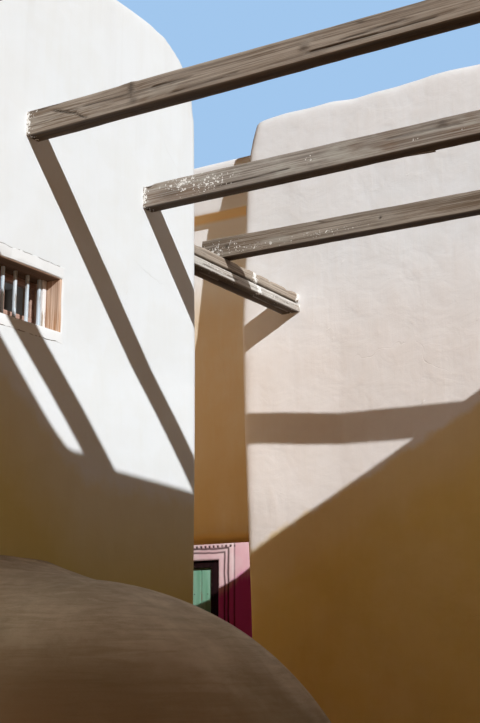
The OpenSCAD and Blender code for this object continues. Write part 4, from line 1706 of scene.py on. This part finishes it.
@dataclass
class Beams:
    """The weathered beams over the yard and the passage.

    Attributes:
        step: Distance between the rings of a beam.
        pitch: Distance between the points of a ring.
        wobble: How far the faces wander.
        wave: Size of the wander.
        arris: Radius of the worn arrises.
        ragged: How rough the ends are.
    """

    step: float = 0.015
    pitch: float = 0.0078
    wobble: float = 0.0028
    wave: float = 0.1
    arris: float = 0.0045
    ragged: float = 0.004

    def along_yard(
        self, node: str, checks: tuple[Check, ...], spots: tuple[Spot, ...], bow: float, seed: int,
        finish: Finish = Palette.BEAM_Y, slim: float = 0.016, drop: float = 0.0, taper: float = 0.12, out: float = 0.0,
        past: float = 0.0,
    ) -> None:
        """Makes one beam over the yard.

        Args:
            node: Its CAD node.
            checks: Its cracks.
            spots: Its knots, chips and splashes.
            bow: How far its middle sags.
            seed: Seed of its wander.
            finish: Its finish.
            slim: How much narrower it is than the squared timber.
            drop: How much lower its end on the yard wall lies.
            taper: Share of its height that is missing there.
            out: How far it stands outwards.
            past: How far its rough end runs on.
        """
        low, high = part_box(node)
        width = high.x - low.x - slim
        x, z = low.x - out + width / 2, (low.z + high.z) / 2
        bar = HewnBar(
            (x, low.y, z - drop), (x, high.y + past, z), width, high.z - low.z, checks=checks, spots=spots, bow=bow,
            taper=taper, seed=seed, **asdict(self),
        )
        bars_piece(f"{node}_timber", [bar], finish, replaced=(node,))

    def scattered(self, node: str, seed: int) -> tuple[tuple[Check, ...], tuple[Spot, ...]]:
        """Lays out checks and knots in places that the photo doesn't fix.

        Args:
            node: The beam's CAD node.
            seed: Seed of the places.

        Returns:
            The checks and the spots.
        """
        low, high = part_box(node)
        rng = np.random.default_rng(seed)
        checks, spots = [], []
        for _ in range(9):
            y, side = rng.uniform(low.y + 0.3, high.y - 0.9), rng.integers(0, 3)
            run, drift = rng.uniform(0.25, 0.8), rng.uniform(-0.02, 0.02)
            if side < 2:
                x = (low.x, high.x)[side]
                z = rng.uniform(low.z + 0.03, high.z - 0.03)
                path = tuple((x, y + run * t, z + drift * t) for t in (0.0, 0.5, 1.0))
            else:
                x = rng.uniform(low.x + 0.03, high.x - 0.03)
                path = tuple((x + drift * t, y + run * t, low.z) for t in (0.0, 0.5, 1.0))
            checks.append(Check(path, rng.uniform(0.003, 0.005), rng.uniform(0.003, 0.007), 0.8))
        for _ in range(3):
            y, x = rng.uniform(low.y + 0.5, high.y - 0.5), (low.x, high.x)[rng.integers(0, 2)]
            spots.append(Spot((x, y, rng.uniform(low.z + 0.03, high.z - 0.03)), 0.03, 0.022, dark=0.45, depth=-0.003))
        return tuple(checks), tuple(spots)

    def build(self) -> None:
        """Makes the four beams and the doubled cross beam."""
        for part in (self.first, self.second, self.third, self.fourth, self.cross):
            part()

    def first(self) -> None:
        """Makes the beam outside the picture."""
        checks, spots = self.scattered("pergola_beam_1", 21)
        self.along_yard("pergola_beam_1", checks, spots, 0.004, 21, slim=0.0, drop=-0.11, out=0.012)

    def second(self) -> None:
        """Makes the highest beam of the picture, with its split and its knot."""
        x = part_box("pergola_beam_2")[0].x
        checks, spots = self.scattered("pergola_beam_2", 22)
        fall = ((-0.60, 4.456), (-0.62, 4.452), (-0.697, 4.424), (-0.767, 4.402), (-0.814, 4.372), (-0.85, 4.352))
        split = Check(tuple((x, *place) for place in fall), 0.005, 0.009)
        rim = Check(((x, -0.44, 4.474), (x, -0.54, 4.478), (x, -0.66, 4.488)), 0.0035, 0.005, 0.6)
        shake = Check(((x, -1.36, 4.360), (x, -1.473, 4.368), (x, -1.6, 4.37), (x, -1.8, 4.38)), 0.0035, 0.005, 0.6)
        marks = (
            Spot((x, -1.143, 4.45), 0.018, 0.05, dark=0.7, depth=-0.004),
            Spot((x, -1.155, 4.385), 0.03, 0.018, dark=0.5),
            Spot((x, -1.12, 4.49), 0.05, 0.012, dark=0.3, depth=-0.004),
            Spot((x, -0.43, 4.42), 0.035, 0.13, lime=0.95),
            Spot((x, -0.52, 4.485), 0.05, 0.02, lime=0.45),
        )
        checks, spots = (split, rim, shake, *checks[:5]), (*marks, *spots[:1])
        self.along_yard("pergola_beam_2", checks, spots, 0.003, 22, Palette.BEAM_DARK)

    def third(self) -> None:
        """Makes the middle beam, with its whitewash and the splinter under it."""
        low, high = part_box("pergola_beam_3")
        x = low.x
        checks, spots = self.scattered("pergola_beam_3", 23)
        marks = (
            Spot((x, -0.44, 4.34), 0.03, 0.13, lime=0.9),
            Spot((x, -0.46, 4.41), 0.035, 0.03, lime=0.7, depth=0.012),
            Spot((x, -0.72, 4.37), 0.16, 0.07, lime=0.72),
            Spot((x, -0.93, 4.34), 0.16, 0.06, lime=0.75),
            Spot((x, -1.6, 4.35), 0.02, 0.05, lime=0.35),
            Spot((x, -1.66, 4.3), 0.018, 0.03, lime=0.4),
            Spot((x, -2.27, 4.321), 0.03, 0.02, lime=0.42),
            Spot((x, -2.55, 4.30), 0.03, 0.02, lime=0.42),
            Spot((x, -0.62, 4.32), 0.1, 0.03, dark=0.35),
        )
        self.along_yard("pergola_beam_3", checks[:6], (*marks, *spots[:1]), 0.003, 23)
        sliver = HewnBar(
            (high.x - 0.024, -1.93, low.z + 0.014), (high.x - 0.02, -2.34, low.z - 0.006), 0.014, 0.009,
            arris=0.002, step=0.02, pitch=0.004, wobble=0.001, seed=5,
        )
        bars_piece("pergola_beam_3_splinter", [sliver], Palette.BEAM_DARK)

    def fourth(self) -> None:
        """Makes the beam over the passage, with its chipped end on the cross beam."""
        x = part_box("pergola_beam_4")[0].x
        checks, spots = self.scattered("pergola_beam_4", 24)
        marks = (
            Spot((x, -0.25, 4.32), 0.09, 0.06, lime=0.78),
            Spot((x, -0.40, 4.33), 0.07, 0.05, lime=0.66),
            Spot((x, -0.345, 4.337), 0.016, 0.014, dark=0.85, depth=0.006),
            Spot((x, -0.62, 4.30), 0.25, 0.03, lime=0.52),
            Spot((x, -1.1, 4.305), 0.3, 0.025, lime=0.38),
            Spot((x, -1.525, 4.335), 0.008, 0.008, dark=1.0, depth=0.012),
        )
        self.along_yard(
            "pergola_beam_4", checks[:5], (*marks, *spots[:1]), 0.002, 24, Palette.BEAM_DARK, drop=0.02, taper=0.2,
            past=0.022,
        )

    def cross(self) -> None:
        """Makes the two members of the cross beam."""
        low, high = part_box("cross_beam")
        y, width = (low.y + high.y) / 2, high.y - low.y
        seam = 4.182
        def line(places: tuple[tuple[float, float], ...], *look: float) -> Check:
            """Returns a crack in the face towards the yard."""
            return Check(tuple((x, low.y, z) for x, z in places), *look)

        runs = ((-0.262, 4.23), (-0.234, 4.19), (-0.206, 4.14))
        stripe = [Spot((x, low.y, z), 0.045, 0.062, lime=1.0) for x, z in runs]
        splashes = [
            Spot((x, low.y, z), along, across, lime=lime)
            for x, z, along, across, lime in (
                (0.41, 4.15, 0.06, 0.12, 0.75), (-0.75, 4.16, 0.4, 0.05, 0.5), (0.1, 4.15, 0.25, 0.05, 0.42),
                (0.40, 4.22, 0.07, 0.12, 0.9),
            )
        ]
        chips = [
            Spot((x, low.y, high.z), along, across, depth=depth)
            for x, along, across, depth in (
                (-0.21, 0.02, 0.03, 0.014), (-0.42, 0.06, 0.025, 0.012), (-0.02, 0.025, 0.03, 0.014),
                (0.24, 0.05, 0.04, 0.012), (-1.0, 0.06, 0.03, 0.01),
            )
        ]
        under = ((-1.2, -0.262, low.z), (-0.4, -0.25, low.z), (0.1, -0.257, low.z), (0.6, -0.25, low.z))
        middle, top = (low.z + seam - 0.009) / 2, (seam + 0.008 + high.z) / 2
        lower = HewnBar(
            (low.x, y, middle), (high.x, y, middle), width, seam - 0.009 - low.z,
            step=0.014, pitch=0.008, wobble=0.0025, wave=0.08, arris=0.008, seed=31, spots=(*stripe[1:], *splashes[:3]),
            checks=(
                Check(under, 0.006, 0.012),
                line(((-0.95, 4.14), (-0.7, 4.135), (-0.5, 4.142)), 0.003, 0.004, 0.6),
                line(((0.0, 4.15), (0.2, 4.14), (0.3, 4.15)), 0.003, 0.004, 0.5),
            ),
        )
        upper = HewnBar(
            (low.x, y + 0.004, top), (high.x, y + 0.004, top), width - 0.008, high.z - seam - 0.008,
            step=0.014, pitch=0.008, wobble=0.0035, wave=0.06, arris=0.018, seed=32,
            checks=(line(((-0.02, 4.21), (0.2, 4.2), (0.36, 4.19)), 0.003, 0.005, 0.6),),
            spots=(*stripe[:2], *chips[:4], splashes[3], chips[4]),
        )
        bars_piece("cross_beam_lower_timber", [lower], Palette.BEAM_PALE, replaced=("cross_beam",))
        bars_piece("cross_beam_upper_timber", [upper], Palette.BEAM_X)


def relief_plate(
    name: str, us: np.ndarray, vs: np.ndarray, height: Callable[[np.ndarray, np.ndarray], np.ndarray],
    keep: Callable[[float, float], bool], lay: Callable[[np.ndarray, np.ndarray, np.ndarray], np.ndarray], back: float,
) -> bpy.types.Mesh:
    """Makes a closed plate whose front is a height field.

    Args:
        name: Name of the mesh.
        us: Grid lines along the first direction.
        vs: Grid lines along the second direction.
        height: Gives the height of the front at grid points.
        keep: Says whether the cell at a point belongs to the plate.
        lay: Turns first, second and height values into points.
        back: Height of the flat back.

    Returns:
        The mesh.
    """
    build = bmesh.new()
    grid_u, grid_v = np.meshgrid(us, vs, indexing="ij")
    front = lay(grid_u, grid_v, height(grid_u, grid_v))
    known: dict[tuple[int, int], bmesh.types.BMVert] = {}

    def corner(i: int, j: int) -> bmesh.types.BMVert:
        """Returns the point of a grid crossing."""
        if (i, j) not in known:
            known[i, j] = build.verts.new(front[i, j])
        return known[i, j]

    for i in range(len(us) - 1):
        for j in range(len(vs) - 1):
            if keep((us[i] + us[i + 1]) / 2, (vs[j] + vs[j + 1]) / 2):
                build.faces.new((corner(i, j), corner(i + 1, j), corner(i + 1, j + 1), corner(i, j + 1)))
    rim = [edge for edge in build.edges if edge.is_boundary]
    grown = bmesh.ops.extrude_edge_only(build, edges=rim)["geom"]
    flat = {}
    for (i, j), vert in known.items():
        flat[tuple(round(c, 6) for c in vert.co)] = lay(us[i : i + 1], vs[j : j + 1], np.array([back]))[0]
    for item in grown:
        if isinstance(item, bmesh.types.BMVert):
            item.co = Vector(flat[tuple(round(c, 6) for c in item.co)])
    loop = [item for item in grown if isinstance(item, bmesh.types.BMEdge) and item.is_boundary]
    bmesh.ops.contextual_create(build, geom=loop)
    bmesh.ops.recalc_face_normals(build, faces=build.faces[:])
    mesh = bpy.data.meshes.new(name)
    build.to_mesh(mesh)
    build.free()
    return mesh


@dataclass
class EarthRoofs:
    """The earth roofs behind the parapets, and the earth floors.

    Attributes:
        cell: Size of the grid on a roof.
        cove: How far the earth rises against the parapet.
    """

    cell: float = 0.07
    cove: float = 0.07

    def roof(self, node: str, seed: int) -> None:
        """Makes one roof.

        Args:
            node: Its CAD node.
            seed: Seed of its hollows.
        """
        low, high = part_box(node)
        noise = TrowelNoise(seed)
        us = np.linspace(low.x, high.x, round((high.x - low.x) / self.cell))
        vs = np.linspace(low.y, high.y, round((high.y - low.y) / self.cell))

        def height(u: np.ndarray, v: np.ndarray) -> np.ndarray:
            """Hollows the roof and raises it against the parapet."""
            flat = flat_points(u, v)
            rough = (0.014 * noise.at(flat, 0.8) + 0.005 * noise.at(flat, 0.2)).reshape(u.shape)
            gap = np.minimum(np.minimum(u - low.x, high.x - u), np.minimum(v - low.y, high.y - v))
            return high.z + rough + self.cove * np.clip(1.0 - gap / 0.2, 0.0, 1.0) ** 2

        def lay(u: np.ndarray, v: np.ndarray, z: np.ndarray) -> np.ndarray:
            """Returns points of the roof."""
            return np.stack([u, v, z], axis=-1)

        mesh = relief_plate(node, us, vs, height, lambda u, v: True, lay, low.z)
        show(f"{node}_earth", mesh, Palette.EARTH, replaced=(node,), angle=60.0)

    def build(self) -> None:
        """Makes the roofs and dresses the floors."""
        for number, node in enumerate(("left_roof", "right_roof", "room_roof")):
            self.roof(node, 41 + number)
        for node in ("left_floor", "right_floor", "room_floor_slab"):
            Palette.EARTH.dress(node)


def stud(place: Point, way: Point, radius: float = 0.009, rise: float = 0.005) -> Shape:
    """Returns a domed nail head.

    Args:
        place: Its foot.
        way: The direction that it stands out in.
        radius: Its radius.
        rise: How far it stands out.

    Returns:
        The nail head's shape.
    """
    axis = Vector(way).normalized()
    first = axis.orthogonal().normalized()
    second = axis.cross(first)
    rings = []
    for out, size in ((-0.004, 1.0), (0.0, 1.0), (0.5, 0.86), (0.85, 0.5), (1.0, 0.12)):
        ring = []
        for k in range(9):
            a = 2 * math.pi * k / 9
            depth = rise * out if out >= 0 else out
            ring.append(Vector(place) + axis * depth + (first * math.cos(a) + second * math.sin(a)) * radius * size)
        rings.append([tuple(p) for p in ring])
    return lofted(np.array(rings))


def latch_ring(place: Point, way: Point, radius: float = 0.032, wire: float = 0.004) -> Shape:
    """Returns an iron ring that hangs from a staple.

    Args:
        place: The staple's foot.
        way: The direction that the staple stands out in.
        radius: The ring's radius.
        wire: Half the thickness of its iron.

    Returns:
        The shape of the ring and its staple.
    """
    axis, up = Vector(way).normalized(), Vector((0, 0, 1))
    side = up.cross(axis).normalized()
    middle = Vector(place) + axis * 0.011 - up * radius
    rings = []
    for k in range(28):
        a = 2 * math.pi * k / 28
        spoke = side * math.cos(a) + up * math.sin(a)
        turns = np.linspace(0, 2 * math.pi, 9)[:-1]
        ring = [middle + spoke * radius + (spoke * math.cos(b) + axis * math.sin(b)) * wire for b in turns]
        rings.append([tuple(p) for p in ring])
    hoop = lofted(np.array(rings), closed=True)
    return Shape.joined([hoop, stud(place, way, 0.012, 0.016)])


@dataclass
class PlankDoor:
    """A plank door that stays shut, in its frame.

    Attributes:
        node: The CAD node that it stands for.
        place: Lower left corner of the door on the wall's face.
        width: Width of the doorway.
        height: Height of the doorway.
        reveal: Depth of the frame's front.
        deep: Depth of the frame.
        post: Width of a post.
        head: Height of the head.
        leaf: Thickness of the leaf.
        planks: How many planks it has.
        seed: Seed of its wear.
    """

    node: str
    place: WallPlace
    width: float = 0.95
    height: float = 2.05
    reveal: float = 0.04
    deep: float = 0.1
    post: float = 0.108
    head: float = 0.05
    leaf: float = 0.045
    planks: int = 5
    seed: int = 61

    def build(self) -> None:
        """Makes the frame, the planks, the ledges and the iron."""
        place, height, levels = self.place, self.height, (0.32, self.height - 0.4)
        middle, back = self.reveal + self.deep / 2, self.reveal + self.deep
        posts = [
            place.post(x, middle, 0.0, height, self.deep, self.post, arris=0.007, wobble=0.0022, seed=self.seed + k)
            for k, x in enumerate((self.post / 2, self.width - self.post / 2))
        ]
        lintel = place.rail(
            self.post, self.width - self.post, middle, height - self.head / 2, self.deep, self.head,
            arris=0.006, wobble=0.002, seed=self.seed + 3,
        )
        bars_piece(f"{self.node}_frame", [*posts, lintel], Palette.CRIMSON, replaced=(self.node,))
        board = (self.width - 2 * self.post) / self.planks
        middles = [self.post + board * (k + 0.5) for k in range(self.planks)]
        planks = [
            place.post(
                x, back - self.leaf * 0.5, 0.006, height - self.head, self.leaf * 0.9, board - 0.003,
                arris=0.004, wobble=0.0016, pitch=0.018, seed=self.seed + 5 + k,
            )
            for k, x in enumerate(middles)
        ]
        bars_piece(f"{self.node}_planks", planks, Palette.GREEN)
        front, inset = back - self.leaf * 0.95, self.post + 0.03
        ledges = [
            place.rail(
                inset, self.width - inset, front - 0.01, z, 0.026, 0.11,
                arris=0.005, wobble=0.0016, seed=self.seed + 12 + k,
            )
            for k, z in enumerate(levels)
        ]
        bars_piece(f"{self.node}_ledges", ledges, Palette.GREEN)
        outwards = place.way(0, -1, 0)
        nails = [
            stud(place.at(x, front - 0.022, z + dz), outwards)
            for x in middles for z in levels for dz in (-0.028, 0.028)
        ]
        nails.append(latch_ring(place.at(self.post + 0.07, front + 0.001, 1.02), outwards))
        show(f"{self.node}_nails", Shape.joined(nails).mesh("nails"), Palette.IRON)


@dataclass
class CourtDoor:
    """The green door in the pink wall: band, frame, leaf, straps and step.

    Attributes:
        y0: One side of the doorway.
        y1: The other side of the doorway.
        top: Top of the doorway.
        face_x: Face of the pink wall.
        band: Width of the raised band.
        thick: Thickness of the raised band.
    """

    y0: float = 2.125
    y1: float = 3.175
    top: float = 2.53
    face_x: float = 3.1
    band: float = 0.19
    thick: float = 0.02

    def grooves(self, y: np.ndarray, z: np.ndarray) -> tuple[np.ndarray, np.ndarray]:
        """Lays out the incised lines and the gaps between the dentils.

        Args:
            y: Places along the wall.
            z: Heights.

        Returns:
            The distance from the doorway, and the depth of the grooves from 0 to 1.
        """
        noise = TrowelNoise(17)
        flat = flat_points(y, z)
        sway = (0.004 * noise.at(flat, 0.12) + 0.002 * noise.at(flat, 0.04)).reshape(y.shape)
        t = np.maximum(np.maximum(self.y0 - y, y - self.y1), z - self.top) + sway
        over = np.clip((z - self.top - 0.118) / 0.004, 0, 1) * np.clip((0.146 + self.top - z) / 0.004, 0, 1)
        beat = np.sin((y - self.y0) * 2 * math.pi / 0.052 + 1.5 * noise.at(flat + 9.0, 0.2).reshape(y.shape))
        lines = np.maximum(np.exp(-(((t - 0.072) / 0.009) ** 2)), np.exp(-(((t - 0.113) / 0.0115) ** 2)))
        lines = np.maximum(lines, 0.9 * np.exp(-(((t - self.band + 0.004) / 0.008) ** 2)))
        return t, np.maximum(lines, over * np.clip(beat * 3.0, 0, 1))

    def band_height(self, y: np.ndarray, z: np.ndarray) -> np.ndarray:
        """Returns how far the band stands out."""
        t, groove = self.grooves(y, z)
        rise = self.thick - 0.004 * np.clip((t - 0.072) / 0.01, 0, 1) - 0.003 * np.clip((t - 0.115) / 0.008, 0, 1)
        flat = flat_points(y, z)
        rise = rise - 0.0105 * groove + 0.0015 * TrowelNoise(18).at(flat, 0.05).reshape(y.shape)
        worn = np.clip(t / 0.012, 0, 1) * np.clip((self.band - t) / 0.012, 0, 1)
        return np.maximum(rise * (0.45 + 0.55 * worn), 0.001)

    def surround(self) -> None:
        """Makes the raised band round the doorway."""
        across = np.concatenate([np.linspace(0.0, 0.06, 6), np.linspace(0.064, 0.124, 16), np.linspace(0.13, 0.19, 8)])
        ys = np.concatenate([self.y0 - across[::-1], np.linspace(self.y0, self.y1, 150)[1:-1], self.y1 + across])
        rows = np.concatenate([np.linspace(0.0, 0.11, 14), np.linspace(0.115, 0.15, 12), np.linspace(0.155, 0.19, 6)])
        zs = np.concatenate([np.linspace(0.0, self.top, 200)[:-1], self.top + rows])

        def keep(y: float, z: float) -> bool:
            """Leaves the doorway open."""
            return z > self.top or not self.y0 < y < self.y1

        def lay(y: np.ndarray, z: np.ndarray, rise: np.ndarray) -> np.ndarray:
            """Returns points in front of the wall."""
            return np.stack([self.face_x - rise, y, z], axis=-1)

        mesh = relief_plate("door_band", ys, zs, self.band_height, keep, lay, -0.01)
        points = rows_of(mesh.vertices, "co")
        # The groove depth also goes on the mesh as the dark mark, which the band paint turns into painted shade.
        groove = self.grooves(points[:, 1], points[:, 2])[1] * (points[:, 0] < self.face_x)
        layer = mesh.attributes.new("dark", "FLOAT", "POINT")
        layer.data.foreach_set("value", groove.astype(np.float32))
        show("door_band_plaster", mesh, Palette.BAND, replaced=("door_surround",), angle=65.0)

    def frame_timbers(self) -> None:
        """Makes the crimson posts, the head and the stops."""
        low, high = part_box("door_frame")
        deep, post, head, stop, stop_deep, lap = high.x - low.x, 0.108, 0.05, 0.016, 0.05, 0.002
        x, stop_x = (low.x + high.x) / 2, low.x + stop_deep / 2
        wide, fine = {"arris": 0.005}, {"arris": 0.003, "wobble": 0.0008}
        bars = []
        for number, (y, sign) in enumerate(((low.y, 1), (high.y, -1))):
            mid, inner = y + sign * post / 2, y + sign * (post + stop / 2 - lap)
            bars.append(self.upright(x, mid, low.z, high.z, post, deep, seed=71 + number, wobble=0.0015, **wide))
            bars.append(self.upright(stop_x, inner, low.z, high.z - head, stop, stop_deep, seed=73 + number, **fine))
        left, right, under = low.y + post, high.y - post, high.z - head
        bars.append(self.level(x, left, right, high.z - head / 2, deep, head, seed=76, wobble=0.0012, **wide))
        bars.append(self.level(stop_x, left, right, under - stop / 2 + 0.001, stop_deep, stop, seed=77, **fine))
        bars_piece("door_frame_timber", bars, Palette.CRIMSON, replaced=("door_frame",))

    def upright(self, x: float, y: float, low: float, high: float, width: float, deep: float, **wear: float) -> HewnBar:
        """Returns an upright bar."""
        return HewnBar((x, y, low), (x, y, high), width, deep, up=(1, 0, 0), **wear)

    def level(self, x: float, left: float, right: float, z: float, deep: float, high: float, **wear: float) -> HewnBar:
        """Returns a level bar along the wall."""
        return HewnBar((x, left, z), (x, right, z), deep, high, **wear)

    def leaf(self) -> None:
        """Makes the planks, ledges, straps, nails and ring of the leaf."""
        x0, x1, y0, y1, z0, z1 = 3.195, 3.24, 2.241, 3.045, 0.358, 2.472
        count, thick, levels = 5, 0.028, (0.628, 1.41, 2.202)
        board, depth = (y1 - y0) / count, x1 - x0 - thick
        middles = [y0 + board * (k + 0.5) for k in range(count)]
        wear = {"arris": 0.004, "wobble": 0.0013, "pitch": 0.018}
        planks = [
            self.upright(x0 + thick / 2, y, z0, z1, board - 0.003, thick, seed=81 + k, **wear)
            for k, y in enumerate(middles)
        ]
        bars_piece("door_leaf_planks", planks, Palette.GREEN, DOOR, ("door_leaf",))
        x, left, right = x0 + thick + depth / 2, y0 + 0.01, y1 - 0.01
        ledges = [
            self.level(x, left, right, z, depth + 0.001, 0.13, arris=0.003, wobble=0.0005, seed=88 + k)
            for k, z in enumerate(levels)
        ]
        bars_piece("door_leaf_ledges", ledges, Palette.GREEN, DOOR)
        iron = [self.strap(z - 0.02) for z in levels[::2]]
        for z in levels[::2]:
            iron += [stud((x1 + 0.0075, y0 + 0.34 + 0.12 * k, z), (1, 0, 0), 0.008, 0.004) for k in range(4)]
        iron += [stud((x0 + 0.0005, y, z), (-1, 0, 0), 0.006, 0.003) for z in levels for y in middles]
        iron.append(latch_ring((x0 + 0.001, y0 + 0.09, 1.38), (-1, 0, 0), 0.03))
        show("door_leaf_iron", Shape.joined(iron).mesh("iron"), Palette.IRON, DOOR)

    def strap(self, z0: float) -> Shape:
        """Makes one hinge strap, curled round its pin.

        Args:
            z0: Its lower edge.

        Returns:
            The strap's shape.
        """
        pin, high, thick, radius = (3.262, 3.059), 0.04, 0.0076, 0.0123
        plane, start, end = 3.244, 2.542, 3.032
        path = [(plane, y) for y in np.linspace(start, end, 14)]
        curl = np.radians(np.linspace(180, -135, 22))
        path += [(pin[0] + radius * math.cos(a), pin[1] + radius * math.sin(a)) for a in curl]
        points = np.array(path)
        ways = np.gradient(points, axis=0)
        ways /= np.linalg.norm(ways, axis=1)[:, None]
        rings = []
        for number, ((x, y), (dx, dy)) in enumerate(zip(points, ways)):
            nose = 0.35 if number == 0 else 1.0
            half, tall = thick / 2, high / 2 * nose
            middle = z0 + high / 2
            corners = ((-half, -tall), (half, -tall), (half, tall), (-half, tall))
            rings.append([(x - dy * a, y + dx * a, middle + b) for a, b in corners])
        return lofted(np.array(rings))

    def build(self) -> None:
        """Makes all pieces of the court door."""
        self.surround()
        self.frame_timbers()
        self.leaf()
        Palette.IRON.dress("door_pintles")
        PlasterSkin(
            "door_step_earth", ("door_step",), Palette.EARTH, seams=((0, self.face_x, 0.03),), voxel=0.016,
            triangles=9_000, relief=0.008, seed=19,
        ).build()


@dataclass
class Studio:
    """Floor, backdrop, lamps and camera.

    Attributes:
        eye: The camera's place.
        heading: The camera's heading in degrees from X towards Y.
        pitch: How far the camera looks up, in degrees.
        focal: Focal length in pixels of a picture that is this many pixels high.
        picture_high: Height of the picture in pixels.
        ray: The way that the sun's light travels.
        backdrop: Colour behind the house.
        sky: Colour of the soft light from all around.
        ground: Colour of the floor.
        bounce: Colour of the light that the floor throws back.
    """

    eye: Point = (-7.9, -4.925, 1.5)
    heading: float = 31.74
    pitch: float = 13.25
    focal: float = 1290.0
    picture_high: float = 723.0
    ray: Point = (0.913, 1.735, -1.0)
    backdrop: Colour = (0.36, 0.57, 0.85)
    sky: Colour = (1.0, 0.43, 0.07)
    ground: Colour = (0.72, 0.63, 0.5)
    bounce: Colour = (0.56, 0.24, 0.04)

    def camera(self) -> None:
        """Puts the camera where the photo was taken from."""
        data = bpy.data.cameras.new("camera")
        data.sensor_width, data.clip_end = 36.0, 200.0
        data.lens = self.focal / self.picture_high * data.sensor_width
        camera = linked("camera", data)
        heading, pitch = math.radians(self.heading), math.radians(self.pitch)
        aim = Vector((math.cos(heading) * math.cos(pitch), math.sin(heading) * math.cos(pitch), math.sin(pitch)))
        camera.location = self.eye
        camera.rotation_euler = aim.to_track_quat("-Z", "Y").to_euler()
        bpy.context.scene.camera = camera

    def floor(self) -> None:
        """Lays a plain pale floor."""
        mesh, far = bpy.data.meshes.new("floor"), 60.0
        mesh.from_pydata([(-far, -far, 0), (far, -far, 0), (far, far, 0), (-far, far, 0)], [], [(0, 1, 2, 3)])
        material = bpy.data.materials.new("Floor")
        material.use_nodes = True
        sheet = Sheet(material.node_tree)
        shader = material.node_tree.nodes["Principled BSDF"]
        shader.inputs["Roughness"].default_value = 0.9
        shown = sheet.out("LightPath", "Is Camera Ray")
        sheet.feed(shader.inputs["Base Color"], sheet.blend(shown, self.bounce, self.ground))
        mesh.materials.append(material)
        linked("floor", mesh)

    def lamp(
        self, name: str, kind: str, energy: float, colour: Colour, ray: Point, **settings: object
    ) -> bpy.types.Object:
        """Hangs one lamp.

        Args:
            name: Its name.
            kind: Its type.
            energy: Its strength.
            colour: Its colour.
            ray: The way that its light travels.
            settings: More properties.

        Returns:
            The lamp.
        """
        data = bpy.data.lights.new(name, kind)
        data.energy, data.color = energy, colour
        for key, value in settings.items():
            setattr(data, key, value)
        lamp = linked(name, data)
        lamp.rotation_euler = Vector(ray).to_track_quat("-Z", "Y").to_euler()
        return lamp

    def world(self) -> None:
        """Lights the house softly and shows a pale backdrop."""
        world = bpy.data.worlds.new("studio")
        bpy.context.scene.world = world
        world.use_nodes = True
        world.node_tree.nodes.clear()
        sheet = Sheet(world.node_tree)
        path = sheet.add("LightPath").outputs
        names = ("Is Camera Ray", "Is Glossy Ray", "Is Transmission Ray")
        camera, glossy, through = (Signal(sheet, path[name]) for name in names)
        seen = camera.at_least(glossy.at_least(through))
        soft = sheet.out("Background", 0, {"Color": self.sky, "Strength": 0.09})
        shown = sheet.out("Background", 0, {"Color": self.backdrop, "Strength": 1.0})
        sheet.add("OutputWorld", {0: sheet.out("MixShader", 0, {0: seen, 1: soft, 2: shown})})

    def build(self) -> None:
        """Makes the whole stage."""
        bpy.context.scene.view_settings.view_transform = "Standard"
        self.camera()
        self.floor()
        self.world()
        self.lamp("key", "SUN", 4.06, (1.0, 1.03, 1.05), self.ray, angle=math.radians(0.5))
        self.lamp("fill", "SUN", 0.04, (1.0, 0.5, 0.12), (1.0, 0.25, -0.15), angle=math.radians(80.0))
        court = self.lamp(
            "court", "SPOT", 232.0, (1.0, 0.99, 0.97), (0.7389, 0.672, -0.0492),
            spot_size=math.radians(44.0), spot_blend=0.02, shadow_soft_size=0.012,
        )
        court.location = (1.2, 0.6, 3.35)
        passage = self.lamp(
            "passage", "AREA", 4.5, (1.0, 0.6, 0.24), (1.0, 0.12, -0.1), shape="RECTANGLE", size=0.7, size_y=2.4
        )
        passage.location = (-0.75, 0.95, 3.7)


def main() -> None:
    """Builds the stage and every piece of the house."""
    logging.basicConfig(level=logging.INFO, format="%(name)s: %(message)s")
    Studio().build()
    windows = Windows()
    windows.build()
    Beams().build()
    Walls(windows).build()
    Oven().build()
    EarthRoofs().build()
    left_rear = WallPlace((-2.9575, 4.275, 0.1), 180.0)
    court = WallPlace((2.575, 0.185, 0.1), 180.0)
    PlankDoor("left_rear_door", left_rear, seed=61).build()
    PlankDoor("right_court_door", court, seed=161).build()
    CourtDoor().build()


if __name__ == "__main__":
    main()
